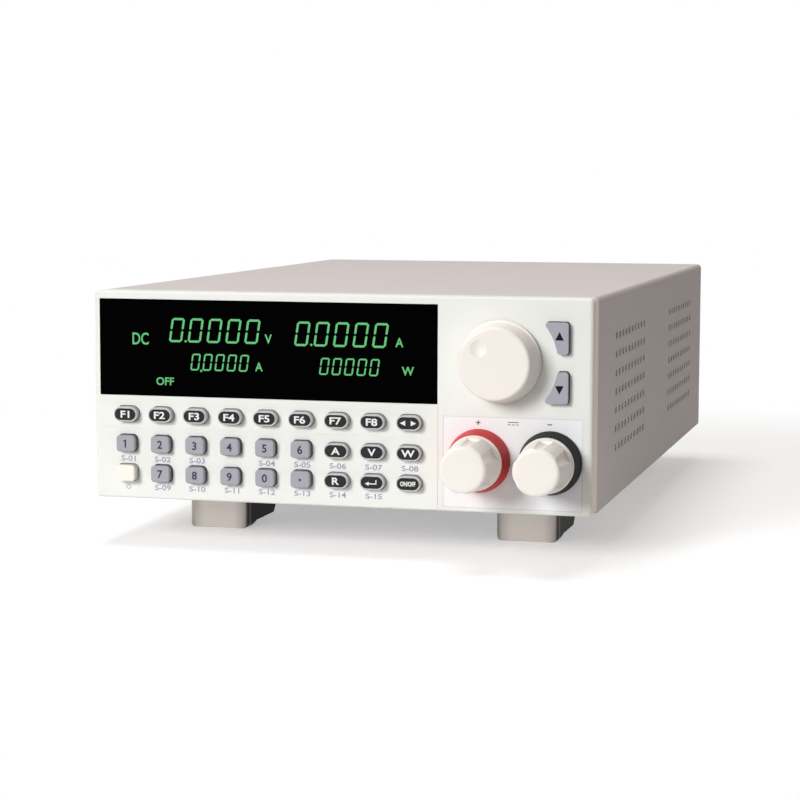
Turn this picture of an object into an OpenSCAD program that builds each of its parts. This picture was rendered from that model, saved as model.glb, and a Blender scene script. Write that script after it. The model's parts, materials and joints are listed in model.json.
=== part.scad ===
// Bench DC electronic load: a half-rack instrument with a keypad front, a rotary
// encoder, two binding posts and a fan-cooled heat sink. Millimetres.
// The origin is under the middle of the instrument, on the bench: X runs to the
// right, Y to the back and Z up. Modules are drawn from the front face's bottom edge.

/* [Case] */
// Width of the case
case_w = 214; // [212:1:260]
// Height of the case without its feet
case_h = 88; // [86:1:120]
// Depth from the front face to the outer face of the rear panel
case_d = 348; // [330:1:420]
// Thickness of the steel sheet
sheet_t = 1.2; // [0.8:0.1:1.6]
// Outer bend radius along the cover's top edges
bend_r = 2.2; // [1.8:0.1:4]
// Gap between sheet parts that slot into each other
sheet_gap = 0.2; // [0.1:0.05:0.4]
// Height of the base pan's side flanges
pan_flange = 12; // [8:1:16]
// Height of the folded lips that the rear panel is screwed to
lip_h = 7; // [6.5:0.5:8]

/* [Vents] */
// Rows of slots in each vent
vent_rows = 7; // [3:1:7]
// Slots in each row
vent_cols = 10; // [4:1:12]
// Width of a slot along the case
slot_w = 4; // [2:0.5:6]
// Height of a slot
slot_h = 5; // [2:0.5:6]
// Pitch of the slots along a row
slot_pitch = 8.8; // [7:0.1:9.5]
// Pitch of the rows
row_pitch = 8; // [6.5:0.5:8]
// From the top of the case to the middle of the first row
vent_top = 18; // [12:1:20]
// From the front face to the middle of the front vent's first slot
vent_front = 58; // [40:1:70]
// From the rear panel to the middle of the rear vent's last slot
vent_rear = 46; // [30:1:60]

/* [Front bezel] */
// Depth of the bezel's rim
bezel_d = 11; // [6:0.5:12]
// Thickness of the bezel's face
bezel_t = 3; // [2.5:0.1:3.6]
// Thickness of the bezel's rim
rim_t = 2.5; // [2:0.1:3]
// Rounding of the face's side edges
side_round = 1.8; // [0.6:0.1:2.5]
// Rounding of the face's top and bottom edges
top_round = 0.9; // [0.4:0.1:2]
// Depth of the panel's fine grooves and of the terminal field
groove = 0.3; // [0.2:0.1:0.6]
// Height of the tongues that hold the bezel to the case
lug_h = 4; // [3:0.25:4.5]
// Width of those tongues
lug_w = 14; // [10:1:20]
// Their reach behind the bezel
lug_l = 11; // [9:1:16]
// From the middle of the case to each tongue
lug_x = 75; // [60:1:85]

/* [Display] */
// From the window to the case's right side
window_right = 64.3; // [63.8:0.1:90]
// Height of the window
window_h = 40.6; // [34:0.1:41]
// Thickness of the window
window_t = 1.8; // [1.2:0.1:2]
// From the case's left side to the window
window_side = 2.7; // [2.6:0.1:3]
// From the top of the case to the window
window_top = 3.4; // [3:0.1:4]
// Width of the ledge that the window sits on
window_ledge = 2; // [1:0.1:3]
// Gap round the window
window_gap = 0.15; // [0.05:0.05:0.3]
// Thickness of the display's glass tube
tube_t = 8; // [5:0.1:8.5]
// Margin of the glass tube inside the window's opening
tube_margin = 1; // [0.5:0.1:4]

/* [Keys] */
// From the case's left side to the first column
key_left = 15; // [14:0.1:16]
// From the last column to the case's right side
key_right = 75.64; // [74:0.02:86]
// From the bottom of the case to the lowest row
key_bottom = 11.1; // [10.9:0.1:11.6]
// Pitch of the rows
key_pitch_z = 12.5; // [11:0.1:12.6]
// Width of a number key
key_w = 8.45; // [7:0.05:10]
// Height of a number key
key_h = 7.2; // [5.4:0.1:7.4]
// Corner radius of a number key
key_corner = 2; // [1:0.1:2.6]
// Width of an oval function key
oval_w = 10.4; // [8:0.1:11.4]
// Height of an oval function key
oval_h = 6.4; // [5:0.1:7.2]
// Height of the keys in front of the face
key_proud = 3.5; // [2:0.1:5]
// Rounding of a key's front edge
key_edge = 0.8; // [0.3:0.1:1.2]
// Width of the power button
power_w = 8.9; // [7:0.1:10]
// Height of the power button
power_h = 7; // [5.4:0.1:7.4]
// Height of the power button in front of the face
power_proud = 4.6; // [3:0.1:6]
// Gap round a key in its opening
key_gap = 0.3; // [0.2:0.05:0.5]
// Overhang of the flange that keeps a key in
key_flange = 1.1; // [0.8:0.1:1.4]
// Thickness of that flange
flange_t = 1; // [0.8:0.1:1.4]
// Play between pieces at rest
play = 0.2; // [0.1:0.05:0.3]
// Travel of a key
key_travel = 0.8; // [0.4:0.1:1]
// Travel of the power button
power_travel = 2.5; // [1.5:0.1:3]
// Diameter of a key's stem
stem_d = 3.6; // [2:0.1:4.4]
// From the arrow keys to the case's right side
arrow_right = 9.8; // [8.4:0.1:11]
// Radius of the arrow keys' hollow side round the knob's axis
arrow_ring = 24; // [23:0.1:25]
// Half the space between the two arrow keys
arrow_near = 3.55; // [3.4:0.05:4.5]
// From the knob's axis to the far end of an arrow key
arrow_far = 16.4; // [14:0.1:17.5]
// Height of the arrow keys in front of the face
arrow_proud = 3; // [1.4:0.1:3.5]
// Corner radius of the arrow keys
arrow_corner = 1.2; // [0.6:0.1:1.4]
// From an arrow key's right side to its stem
arrow_stem = 5; // [4:0.1:6]

/* [Keypad board] */
// From the back of the bezel's face to the board
board_depth = 9.5; // [9:0.1:12]
// Thickness of the printed circuit boards
board_t = 1.6; // [1.2:0.1:2]
// Height of a tact switch with its plunger
switch_h = 5; // [4.3:0.1:5.2]
// Side of a tact switch
switch_w = 6; // [4.5:0.1:6.4]
// Radius of the bosses that carry the board
boss_r = 2.3; // [2:0.1:2.5]
// Diameter of the screws in those bosses
board_screw_d = 2.4; // [2:0.1:2.6]
// Depth of the power switch behind the board
power_switch_l = 20; // [14:1:26]

/* [Knob] */
// From the case's right side to the knob's axis
knob_right = 37.9; // [37:0.1:39]
// From the top of the case to the knob's axis
knob_top = 25.95; // [25:0.05:27]
// Diameter of the knob's skirt
knob_base_d = 33.6; // [28:0.1:36]
// Diameter of the knob at its front
knob_front_d = 29.8; // [24:0.1:32]
// From the face to the knob's front
knob_reach = 14; // [12:0.1:22]
// Gap between the knob and the face
knob_gap = 1; // [0.8:0.1:2]
// Rounding of the knob's front edge
knob_edge = 1.4; // [0.5:0.1:2]
// Wall of the knob
knob_wall = 2.6; // [1.6:0.1:3]
// Diameter of the encoder shaft
shaft_d = 6; // [5:0.1:6.4]
// Diameter of the encoder's bushing
bushing_d = 9; // [8.4:0.1:10]
// Running clearance of a shaft
run_gap = 0.05; // [0.02:0.01:0.08]
// Side of the encoder's housing
encoder_w = 13; // [12:0.1:16]

/* [Terminals] */
// From the case's right side to the nearer terminal
post_right = 17.2; // [16.6:0.1:18]
// Pitch of the terminals
post_pitch = 29.5; // [28:0.1:30]
// From the bottom of the case to the terminals
post_z = 21.4; // [20:0.1:22]
// Diameter of the insulating rings
ring_d = 26; // [24.5:0.1:27]
// Diameter of the rings at their front
ring_front_d = 23.2; // [22:0.1:25]
// Thickness of the rings
ring_t = 8; // [6:0.1:9]
// Diameter of the rings' bushes in the bezel
bush_d = 14; // [12:0.1:16]
// Diameter of the studs
stud_d = 8; // [6:0.1:8]
// Diameter of the studs' clamping plates
clamp_d = 17; // [14:0.1:18]
// Thickness of a clamping plate and of a washer
clamp_t = 1.2; // [0.8:0.1:1.6]
// From the face to the front of a terminal cap
cap_reach = 30.5; // [28:0.5:40]
// Diameter of a cap's rim
cap_rim_d = 22.6; // [22:0.1:24]
// Thickness of that rim
cap_rim_t = 1.6; // [1.4:0.1:3]
// Diameter of a cap behind its rim
cap_base_d = 21.4; // [20.4:0.1:22]
// Diameter of a cap at its front
cap_front_d = 19.4; // [17:0.1:20]
// Rounding of a cap's front edge
cap_edge = 1.8; // [0.5:0.1:2]
// Thickness of a cap's front wall
cap_wall = 3; // [2:0.1:4]
// Scallops round a cap
cap_flutes = 6; // [5:1:10]
// Radius of a scallop
flute_r = 4; // [2:0.1:4.5]
// Depth of a scallop at the cap's front
flute_depth = 0.6; // [0.4:0.1:2]

/* [Feet] */
// From the middle of the case to the feet
foot_x = 70; // [50:0.5:80]
// From the front face to the front feet
foot_front = 52; // [40:0.1:70]
// From the rear panel to the rear feet
foot_rear = 34; // [24:1:60]
// Width of a foot
foot_w = 27.4; // [22:0.1:32]
// Height of a foot
foot_h = 20; // [16:0.5:26]
// Length of a foot
foot_l = 40; // [34:0.5:44]
// Thickness of the silver cap on a foot
foot_cap_t = 4; // [1.6:0.1:5]
// Radius of a foot's bottom corners
foot_corner = 2.6; // [2:0.1:6]
// Height of a foot's body over the bench behind its lip
foot_lift = 2.2; // [1:0.1:4]

/* [Screws] */
// Diameter of the case screws
screw_d = 3; // [2.5:0.1:3.2]
// Diameter of the foot and fan screws
big_screw_d = 4; // [3.5:0.1:4.2]
// Height of the screw heads
head_h = 2; // [1.4:0.1:2.4]
// Clearance of a screw in its hole
screw_gap = 0.1; // [0.05:0.05:0.2]

/* [Cooling] */
// Side of the fan
fan_size = 60; // [50:1:62]
// Depth of the fan
fan_depth = 25; // [20:1:30]
// Pitch of the fan's screws
fan_pitch = 50; // [42:0.5:50]
// Diameter of the fan's duct
fan_bore_d = 56; // [46:0.5:57]
// From the case's right side to the fan's axis
fan_right = 55; // [50:1:60]
// Blades of the fan
fan_blades = 7; // [5:1:9]
// Length of the heat sink
sink_l = 150; // [80:1:160]
// Width of the heat sink
sink_w = 64; // [56:1:70]
// Height of the heat sink over its legs
sink_h = 62; // [50:1:64]
// Height of the heat sink's legs
sink_leg = 11; // [6:0.5:12]
// Thickness of the heat sink's walls and fins
fin_t = 2; // [1.4:0.1:3]
// Fins across the heat sink
fin_n = 9; // [5:1:12]

/* [Inside] */
// Height of the standoffs under the main board
standoff_h = 8; // [7.6:0.1:9]
// Length of the main board
main_l = 190; // [150:1:200]
// From the main board to the case's left side
main_left = 6; // [5:0.5:8]
// From the main board to the heat sink
main_right = 13; // [10:1:18]
// Diameter of the reservoir capacitors
can_d = 20; // [16:1:21]
// Height of the reservoir capacitors
can_h = 32; // [20:1:40]
// Width of the transformer's core
core_w = 66; // [56:1:72]
// Height of the transformer's core
core_h = 55; // [46:1:60]
// Depth of the transformer's core
core_d = 34; // [26:1:40]
// From the front face to the transformer's core
core_y = 62; // [58:1:68]

/* [Rear connections] */
// From the case's left side to the mains inlet
inlet_left = 32; // [24:1:40]
// From the top of the case to the middle of the mains inlet
inlet_top = 34; // [33:1:36]
// Width of the inlet's flange
inlet_w = 31; // [30:0.5:34]
// Height of the inlet's flange
inlet_h = 46; // [45:0.5:48]
// Thickness of the inlet's flange
inlet_t = 2.5; // [2:0.1:3]
// Depth of the inlet's socket
socket_l = 16; // [14:0.5:18]
// Length of the inlet's pins
pin_l = 11; // [8:0.5:11]
// Reach of the serial connector behind the rear panel
port_proud = 6; // [4.5:0.1:7]
// Gap round a connector in the rear panel
port_gap = 0.3; // [0.2:0.05:0.5]

/* [Hidden] */
$fn = 64;
past = 1;
half_w = case_w / 2;
pan_half = half_w - sheet_t - sheet_gap;
rear_in = case_d - sheet_t;
lip_y = [rear_in - sheet_t, rear_in];
cover_in = case_h - sheet_t;
face_y = (cap_reach - case_d - port_proud) / 2;

window_w = case_w - window_side - window_right;
window_x = -half_w + window_side + window_w / 2;
window_z = case_h - window_top - window_h / 2;
tube_w = window_w - 2 * window_ledge - 2 * tube_margin;
tube_h = window_h - 2 * window_ledge - 2 * tube_margin;
tube_rim = 2;
tube_seal = 3;

line_w = 0.4;
line_off = 0.3;
row_line = 5.9;
field_in = 2.5;
field_right = 4;
field_low = 1.8;
field_over = 5;

last_col = 8;
key_pitch_x = (case_w - key_left - key_right) / last_col;
board_y = bezel_t + board_depth;
board_back = board_y + board_t;
board_low_gap = 0.5;
board_top_gap = 3;
board_side_gap = 1.5;
notch_gap = 1;
board_low = key_bottom - switch_w / 2 - board_low_gap;
board_high = case_h - rim_t - lug_h - board_top_gap;
board_half = half_w - rim_t - board_side_gap;
board_notch = [post_x(0) - ring_d / 2 - notch_gap, post_z + ring_d / 2 + notch_gap];
board_screw_r = board_screw_d / 2;
boss_in = 5;
boss_down = 7;

corner_lap = 0.03;
flange_y = bezel_t + play;
plunger_l = 1.5;
plunger_r = 1.75;
switch_front = board_y - switch_h;
stem_end = switch_front - key_travel - play;
stem_r = stem_d / 2;
power_stem = 3;
power_switch_w = 15;
power_switch_h = 12;

knob_x = half_w - knob_right;
knob_z = case_h - knob_top;
skirt_t = 1.4;
skirt_step = 0.7;
skirt_slope = 0.3;
knob_hub_t = 3;
hub_r = shaft_d / 2 + knob_hub_t;
dimple_r = 8;
dimple_depth = 0.8;
dimple_at = [-6.2, 6.1];
encoder_t = 6.5;
encoder_floor = 2;
nut_t = 2.2;
nut_over = 2.5;
thread_left = 1;
flat_depth = 1.2;
bushing_reach = knob_gap + nut_t + thread_left;
flat_start = bushing_reach + thread_left;
shaft_reach = knob_reach - knob_wall - play;

bush_past = 1.5;
bush_end = bezel_t + bush_past;
ring_foot = 1.2;
stud_nut_t = 6.5;
stud_nut_r = 7.5;
stud_nut_gap = 2;
stud_past = 3;
stud_short = 1;
stud_tail = bush_end + 2 * stud_nut_t + stud_past;
stud_nose = cap_reach - cap_wall - stud_short;
washer_h = ring_t + clamp_t + play;
cap_base = ring_t + play;
cap_step = 0.5;
cap_floor = washer_h + clamp_t + play;
clamp_gap = 0.7;
flute_turn = 27;
flute_land = 0.8;

foot_lip = [foot_cap_t + 3, foot_cap_t + 8.5];
foot_chamfer = 3;
foot_screw_y = 24;
foot_seat = 6;
foot_cap_round = 0.75 * foot_cap_t;
foot_ends = [[foot_front, 0], [case_d - foot_rear, 180]];

fan_x = half_w - fan_right;
fan_z = sheet_t + sink_leg + sink_h / 2;
fan_front = rear_in - fan_depth;
fan_corner = 3;
hub_out = 13.5;
hub_wall = 2;
bearing_r = 4;
bearing_in = 4;
axle_r = 1.5;
axle_end = 1;
strut_t = 3.5;
strut_w = 3;
blade_t = 1.4;
blade_gap = 0.8;
blade_clear = 7;
rotor_in = 1.5;
rotor_floor = 2;
wire_r = 0.8;
guard_rings = [7, 13, 19, 25];
ring_lift = 1.1;
spoke_in = 2;
spoke_bite = 0.6;
eye_r = 4.4;
eye_t = 2;

sink_gap = 4;
sink_y = [fan_front - sink_gap - sink_l, fan_front - sink_gap];
sink_left = fan_x - sink_w / 2;
device = [16, 5, 21];
device_drop = 5;
device_n = 6;

main_z = sheet_t + standoff_h;
main_top = main_z + board_t;
main_x = [-half_w + main_left, sink_left - main_right];
main_y = [rear_in - play - main_l, rear_in - play];
main_w = main_x[1] - main_x[0];
standoff_r = 3;
standoff_in = 6;
standoff_rear = 40;
solder = 0.5;
can_row = 30;
relay = [24, 16, 18];
relay_row = 66;
chip = [16, 16, 2];
chip_row = 104;

core_off = 4;
coil_out = 9;
coil_corner = 3;

inlet_x = -half_w + inlet_left;
inlet_z = case_h - inlet_top;
inlet_corner = 3;
inlet_ledge = 2;
inlet_floor = 3;
socket_w = 24.5;
socket_h = 17;
socket_up = 10;
socket_cut = 4;
pin_spots = [[-7, -2], [7, -2], [0, 2]];
pin_w = 2;
pin_h = 4;
drawer_w = 23;
drawer_h = 11;
drawer_low = 4;
drawer_line = 0.6;
drawer_line_t = 0.8;
pull_w = 8;
pull_h = 2;
pull_t = 1.6;

port_z = main_top;
port_lip = 0.6;
port_size = [[20.4, 12], [12, 11], [16, 13.4], [31, 12.5]];
port_space = (main_w - port_sum(3)) / 5;
sense_out = 3;
sense_l = 17;
sense_pitch = 5;
sense_mouth = 3;
sense_mouth_l = 9;
sense_screw_r = 1.4;
usb_l = 16.6;
usb_mouth = [8.5, 7.8];
usb_mouth_l = 9;
usb_tongue = [5.6, 3.2];
network_l = 21.6;
network_mouth = [11.9, 8.2];
network_latch = [6, 3];
network_mouth_l = 12.6;
serial_shell = [18, 10];
serial_taper = 1.4;
serial_wall = 0.7;
serial_l = 12;
serial_pin_r = 0.5;
serial_pin_x = 2.77;
serial_pin_z = 1.42;
jack_x = 12.5;
jack_r = 2.6;
jack_out = 5;

screw_r = screw_d / 2;
big_screw_r = big_screw_d / 2;
head_ratio = 1.9;
rear_screw_in = 10;
screw_short = 0.5;
screw_past = 2;
fan_bite = 10;
board_bite = 5;

KEY_NAMES = [
    ["key_f1", "key_f2", "key_f3", "key_f4", "key_f5", "key_f6", "key_f7", "key_f8", "key_left_right"],
    ["key_1", "key_2", "key_3", "key_4", "key_5", "key_6",
        "key_mode_current", "key_mode_voltage", "key_mode_power"],
    ["power_button", "key_7", "key_8", "key_9", "key_0", "key_point",
        "key_mode_resistance", "key_enter", "key_output"]
];

// Places that several pieces share

function key_x(c) = -half_w + key_left + c * key_pitch_x;
function key_z(r) = key_bottom + (2 - r) * key_pitch_z;
function post_x(i) = half_w - post_right - (1 - i) * post_pitch;
function arrow_x() = half_w - arrow_right - arrow_stem;
function arrow_z(s) = knob_z + s * (arrow_near + arrow_far) / 2;
function is_power(c, r) = r == 2 && c == 0;
function is_oval(c, r) = r == 0 || c > 5;
function cap_size(c, r) =
    is_power(c, r) ? [power_w, power_h]
    : is_oval(c, r) ? [oval_w, oval_h]
    : [key_w, key_h];
function port_sum(k) = k < 0 ? 0 : port_size[k][0] + port_sum(k - 1);
function port_x(k) = main_x[0] + (k + 1) * port_space + port_sum(k) - port_size[k][0] / 2;
function port_mid(k) = port_z + port_size[k][1] / 2;

boss_band = (key_z(0) + oval_h / 2 + key_flange + window_z - window_h / 2 + window_ledge) / 2;
boss_spots = [
    [key_x(0), boss_band], [key_x(4), boss_band], [key_x(last_col), boss_band],
    [window_x + window_w / 2 + boss_in, case_h - rim_t - lug_h - boss_down], [arrow_x(), knob_z]
];
rear_spots = [for (s = [-1, 1]) each [
    [s * (pan_half - rear_screw_in), sheet_t + (lip_h - sheet_t) / 2],
    [s * (pan_half - rear_screw_in), cover_in - lip_h / 2]
]];
fan_spots = [for (x = [-1, 1], z = [-1, 1]) [fan_x + x * fan_pitch / 2, fan_z + z * fan_pitch / 2]];
standoff_spots = [
    for (x = [main_x[0] + standoff_in, main_x[1] - standoff_in])
        for (y = [main_y[0] + standoff_in, main_y[1] - standoff_rear])
            [x, y]
];
foot_spots = [
    for (s = [-1, 1], end = foot_ends)
        [s * foot_x, end[0] + (end[1] == 0 ? foot_screw_y : -foot_screw_y)]
];
lug_spots = [for (s = [-1, 1]) [s * lug_x, bezel_d + lug_l / 2]];

// Shapes that repeat

module place() translate([0, face_y, foot_h]) children();

module block(x, y, z) translate([x[0], y[0], z[0]]) cube([x[1] - x[0], y[1] - y[0], z[1] - z[0]]);

module centred(x, z, w, h, y) block([x - w / 2, x + w / 2], y, [z - h / 2, z + h / 2]);

// An outline in X and Z, drawn out along Y
module along_y(y) translate([0, y[1], 0]) rotate([90, 0, 0]) linear_extrude(y[1] - y[0]) children();

// A profile of radius and reach in front of the face, turned about an axis along Y
module turned(x, z) translate([x, 0, z]) rotate([90, 0, 0]) rotate_extrude() children();

module rod(x, z, y, r, sides = $fn)
    translate([x, y[1], z]) rotate([90, 0, 0]) cylinder(h = y[1] - y[0], r = r, $fn = sides);

module post(x, y, z, r) translate([x, y, z[0]]) cylinder(h = z[1] - z[0], r = r);

module rounded_rect(w, h, r) {
    square([w - 2 * r, h], center = true);
    square([w, h - 2 * r], center = true);
    for (x = [-1, 1], z = [-1, 1]) translate([x * (w / 2 - r), z * (h / 2 - r)]) circle(r);
}

module obround(w, h) {
    square([w - h, h], center = true);
    for (s = [-1, 1]) translate([s * (w - h) / 2, 0]) circle(h / 2);
}

// A strip whose two front corners are round
module front_rounded(w, depth, r) {
    translate([-w / 2, r]) square([w, depth - r]);
    translate([-w / 2 + r, 0]) square([w - 2 * r, depth]);
    for (s = [-1, 1]) translate([s * (w / 2 - r), r]) circle(r);
}

// A block whose four front edges are round
module soft_block(w, h, depth, side_r, top_r) {
    intersection() {
        translate([0, 0, -h / 2]) linear_extrude(h) front_rounded(w, depth, side_r);
        translate([-w / 2, 0, 0]) rotate([0, 90, 0]) linear_extrude(w) front_rounded(h, depth, top_r);
    }
}

// Outlines of the keys, grown by a margin

module key_outline(c, r, grow) {
    size = cap_size(c, r);
    translate([key_x(c), key_z(r)]) {
        if (is_oval(c, r)) obround(size[0] + 2 * grow, size[1] + 2 * grow);
        else rounded_rect(size[0] + 2 * grow, size[1] + 2 * grow, key_corner + grow);
    }
}

// Round end of an arrow key where its hollow side meets the level edge at height z
module arrow_corner_cut(z, up, grow) {
    height = z - up * arrow_corner;
    middle = [sqrt(pow(arrow_ring + arrow_corner, 2) - pow(height, 2)), height];
    reach = 3 * (arrow_corner + grow);
    over = [0, up * reach];
    inward = -middle * reach / norm(middle);
    difference() {
        polygon([middle, middle + over, middle + over + inward, middle + inward]);
        translate(middle) circle(arrow_corner + grow + corner_lap);
    }
}

module arrow_outline(s, grow) {
    right = half_w - arrow_right + grow;
    left = knob_x + sqrt(pow(arrow_ring, 2) - pow(arrow_far, 2)) - grow;
    tall = arrow_far - arrow_near + 2 * grow;
    difference() {
        translate([(left + right) / 2, arrow_z(s)]) rounded_rect(right - left, tall, arrow_corner + grow);
        translate([knob_x, knob_z]) {
            circle(arrow_ring - grow);
            arrow_corner_cut(s * arrow_far, s, grow);
            arrow_corner_cut(s * arrow_near, -s, grow);
        }
    }
}

module every_key()
    for (r = [0 : 2], c = [0 : last_col])
        if (!is_power(c, r)) translate([key_x(c), 0, key_z(r)]) children();

// Front

module bezel_shell() {
    difference() {
        intersection() {
            translate([0, 0, case_h / 2]) soft_block(case_w, case_h, bezel_d, side_round, top_round);
            along_y([0, bezel_d]) translate([0, case_h / 2]) rounded_rect(case_w, case_h, bend_r);
        }
        block([-half_w + rim_t, half_w - rim_t], [bezel_t, bezel_d + past], [rim_t, case_h - rim_t]);
    }
}

module bezel_openings() {
    through = [-past, bezel_t + past];
    centred(window_x, window_z, window_w + 2 * window_gap, window_h + 2 * window_gap, [-past, window_t]);
    centred(window_x, window_z, window_w - 2 * window_ledge, window_h - 2 * window_ledge, through);
    along_y(through) {
        for (r = [0 : 2], c = [0 : last_col]) key_outline(c, r, key_gap);
        for (s = [-1, 1]) arrow_outline(s, key_gap);
    }
    rod(knob_x, knob_z, through, bushing_d / 2 + key_gap);
    for (i = [0, 1]) rod(post_x(i), post_z, through, bush_d / 2 + play);
}

// Shallow field round the terminals, and fine lines between the groups of keys
module bezel_lines() {
    shallow = [-past, groove];
    right_edge = window_x + window_w / 2;
    field_top = post_z + ring_d / 2 + field_over;
    line_x = right_edge + line_off;
    line_z = key_z(0) - row_line;
    block([right_edge + field_in, half_w - field_right], shallow, [field_low, field_top]);
    block([line_x, line_x + line_w], shallow, [-past, window_z - window_h / 2]);
    block([-half_w - past, line_x + line_w / 2], shallow, [line_z - line_w, line_z]);
}

module front_bezel() place() color("whitesmoke") {
    tongue_y = [bezel_t, bezel_d + lug_l];
    difference() {
        union() {
            bezel_shell();
            for (spot = boss_spots) rod(spot[0], spot[1], [bezel_t - past, board_y], boss_r);
            for (s = [-1, 1]) {
                centred(s * lug_x, sheet_t + lug_h / 2, lug_w, lug_h, tongue_y);
                centred(s * lug_x, cover_in - sheet_gap - lug_h / 2, lug_w, lug_h, tongue_y);
            }
        }
        bezel_openings();
        bezel_lines();
        for (spot = boss_spots) rod(spot[0], spot[1], [bezel_t, board_y + past], board_screw_r + screw_gap);
        for (spot = lug_spots) post(spot[0], spot[1], [-past, sheet_t + lug_h + past], screw_r + screw_gap);
    }
}

module display_window() place() color("black") centred(window_x, window_z, window_w, window_h, [0, window_t]);

// Glass tube with its seal, standing on the keypad board
module display_module() place() color("darkslategray") {
    tube_front = board_y - tube_t;
    step = tube_front + tube_rim;
    centred(window_x, window_z, tube_w, tube_h, [step, board_y]);
    centred(window_x, window_z, tube_w - 2 * tube_seal, tube_h - 2 * tube_seal, [tube_front, step]);
}

module keypad_board() place() color("darkgreen") {
    difference() {
        block([-board_half, board_half], [board_y, board_back], [board_low, board_high]);
        block([board_notch[0], board_half + past], [board_y - past, board_back + past], [0, board_notch[1]]);
        rod(key_x(0), key_z(2), [board_y - past, board_back + past], stem_r + 2 * key_gap);
        for (spot = boss_spots)
            rod(spot[0], spot[1], [board_y - past, board_back + past], board_screw_r + screw_gap);
    }
}

module tact_switch() {
    body_front = switch_front + plunger_l;
    centred(0, 0, switch_w, switch_w, [body_front, board_y]);
    rod(0, 0, [switch_front, body_front + past], plunger_r);
}

module key_switches() place() color("dimgray") {
    every_key() tact_switch();
    for (s = [-1, 1]) translate([arrow_x(), 0, arrow_z(s)]) tact_switch();
}

function key_colour(c, r) = is_power(c, r) ? "linen" : is_oval(c, r) ? "lightgray" : "lightsteelblue";

// Cap, retaining flange and stem of one key
module panel_key(c, r) place() color(key_colour(c, r)) {
    size = cap_size(c, r);
    proud = is_power(c, r) ? power_proud : key_proud;
    depth = proud + flange_y + flange_t;
    end = is_power(c, r) ? board_back + power_travel + power_stem : stem_end;
    intersection() {
        along_y([-proud, flange_y + flange_t]) key_outline(c, r, 0);
        translate([key_x(c), -proud, key_z(r)]) soft_block(size[0], size[1], depth, key_edge, key_edge);
    }
    along_y([flange_y, flange_y + flange_t]) key_outline(c, r, key_flange);
    rod(key_x(c), key_z(r), [flange_y, end], stem_r);
}

module arrow_key(s) place() color("lightsteelblue") {
    along_y([-arrow_proud, flange_y + flange_t]) arrow_outline(s, 0);
    along_y([flange_y, flange_y + flange_t]) arrow_outline(s, key_flange);
    rod(arrow_x(), arrow_z(s), [flange_y, stem_end], stem_r);
}

module up_key() arrow_key(1);

module down_key() arrow_key(-1);

// Latching switch behind the board; the button's stem runs in its bore
module power_switch() place() color("black") {
    bore_end = board_back + 2 * power_travel + power_stem + past;
    body_y = [board_back, board_back + power_switch_l];
    difference() {
        centred(key_x(0), key_z(2), power_switch_w, power_switch_h, body_y);
        rod(key_x(0), key_z(2), [board_back - past, bore_end], stem_r + key_gap);
    }
}

module rotary_encoder() place() color("silver") {
    front = board_y - encoder_t;
    nut_r = bushing_d / 2 + nut_over;
    difference() {
        union() {
            centred(knob_x, knob_z, encoder_w, encoder_w, [front, board_y]);
            rod(knob_x, knob_z, [-bushing_reach, front + past], bushing_d / 2);
            rod(knob_x, knob_z, [-nut_t, 0], nut_r, 6);
        }
        rod(knob_x, knob_z, [-bushing_reach - past, board_y - encoder_floor], shaft_d / 2 + run_gap);
    }
}

// Flat that keys the knob to the shaft
module shaft_flat(clear) {
    flat_x = shaft_d / 2 - flat_depth + clear;
    centred(knob_x + flat_x + shaft_d, knob_z, 2 * shaft_d, 2 * shaft_d, [-knob_reach, -flat_start]);
}

module encoder_shaft() place() color("silver") {
    difference() {
        rod(knob_x, knob_z, [-shaft_reach, board_y - encoder_floor - play], shaft_d / 2);
        shaft_flat(0);
    }
}

module knob_profile() {
    base_r = knob_base_d / 2;
    front_r = knob_front_d / 2;
    skirt_end = knob_gap + skirt_t;
    polygon([
        [0, knob_gap], [base_r, knob_gap], [base_r, skirt_end],
        [base_r - skirt_step, skirt_end + skirt_slope],
        [front_r, knob_reach - knob_edge], [front_r - knob_edge, knob_reach], [0, knob_reach]
    ]);
    translate([front_r - knob_edge, knob_reach - knob_edge]) circle(knob_edge);
}

module encoder_knob() place() color("linen") {
    inner_r = knob_front_d / 2 - knob_wall;
    shell_end = knob_reach - knob_wall;
    difference() {
        turned(knob_x, knob_z) knob_profile();
        difference() {
            rod(knob_x, knob_z, [-shell_end, 0], inner_r);
            rod(knob_x, knob_z, [-shell_end - past, -flat_start], hub_r);
        }
        difference() {
            rod(knob_x, knob_z, [-shell_end, 0], shaft_d / 2 + run_gap);
            shaft_flat(run_gap);
        }
        translate([knob_x + dimple_at[0], -knob_reach - dimple_r + dimple_depth, knob_z + dimple_at[1]])
            sphere(dimple_r);
    }
}

// Load terminals

// Conical insulating ring with the bush that lines the bezel's hole
module terminal_ring(i) {
    bore = stud_d / 2 + screw_gap;
    ring_r = ring_d / 2;
    turned(post_x(i), post_z) polygon([
        [bore, -bush_end], [bush_d / 2, -bush_end], [bush_d / 2, 0], [ring_r, 0],
        [ring_r, ring_foot], [ring_front_d / 2, ring_t], [bore, ring_t]
    ]);
}

module positive_terminal_ring() place() color("firebrick") terminal_ring(0);

module negative_terminal_ring() place() color("black") terminal_ring(1);

// Stud with its clamping plate in front of the ring and two nuts behind the bezel
module terminal_studs() place() color("silver") {
    for (i = [0, 1]) {
        rod(post_x(i), post_z, [-stud_nose, stud_tail], stud_d / 2);
        rod(post_x(i), post_z, [-ring_t - clamp_t, -ring_t], clamp_d / 2);
        for (y = [bush_end, bush_end + stud_nut_t + stud_nut_gap])
            rod(post_x(i), post_z, [y, y + stud_nut_t], stud_nut_r, 6);
    }
}

module terminal_washer(i) difference() {
    rod(post_x(i), post_z, [-washer_h - clamp_t, -washer_h], clamp_d / 2);
    rod(post_x(i), post_z, [-washer_h - clamp_t - past, past], stud_d / 2 + play);
}

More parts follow.
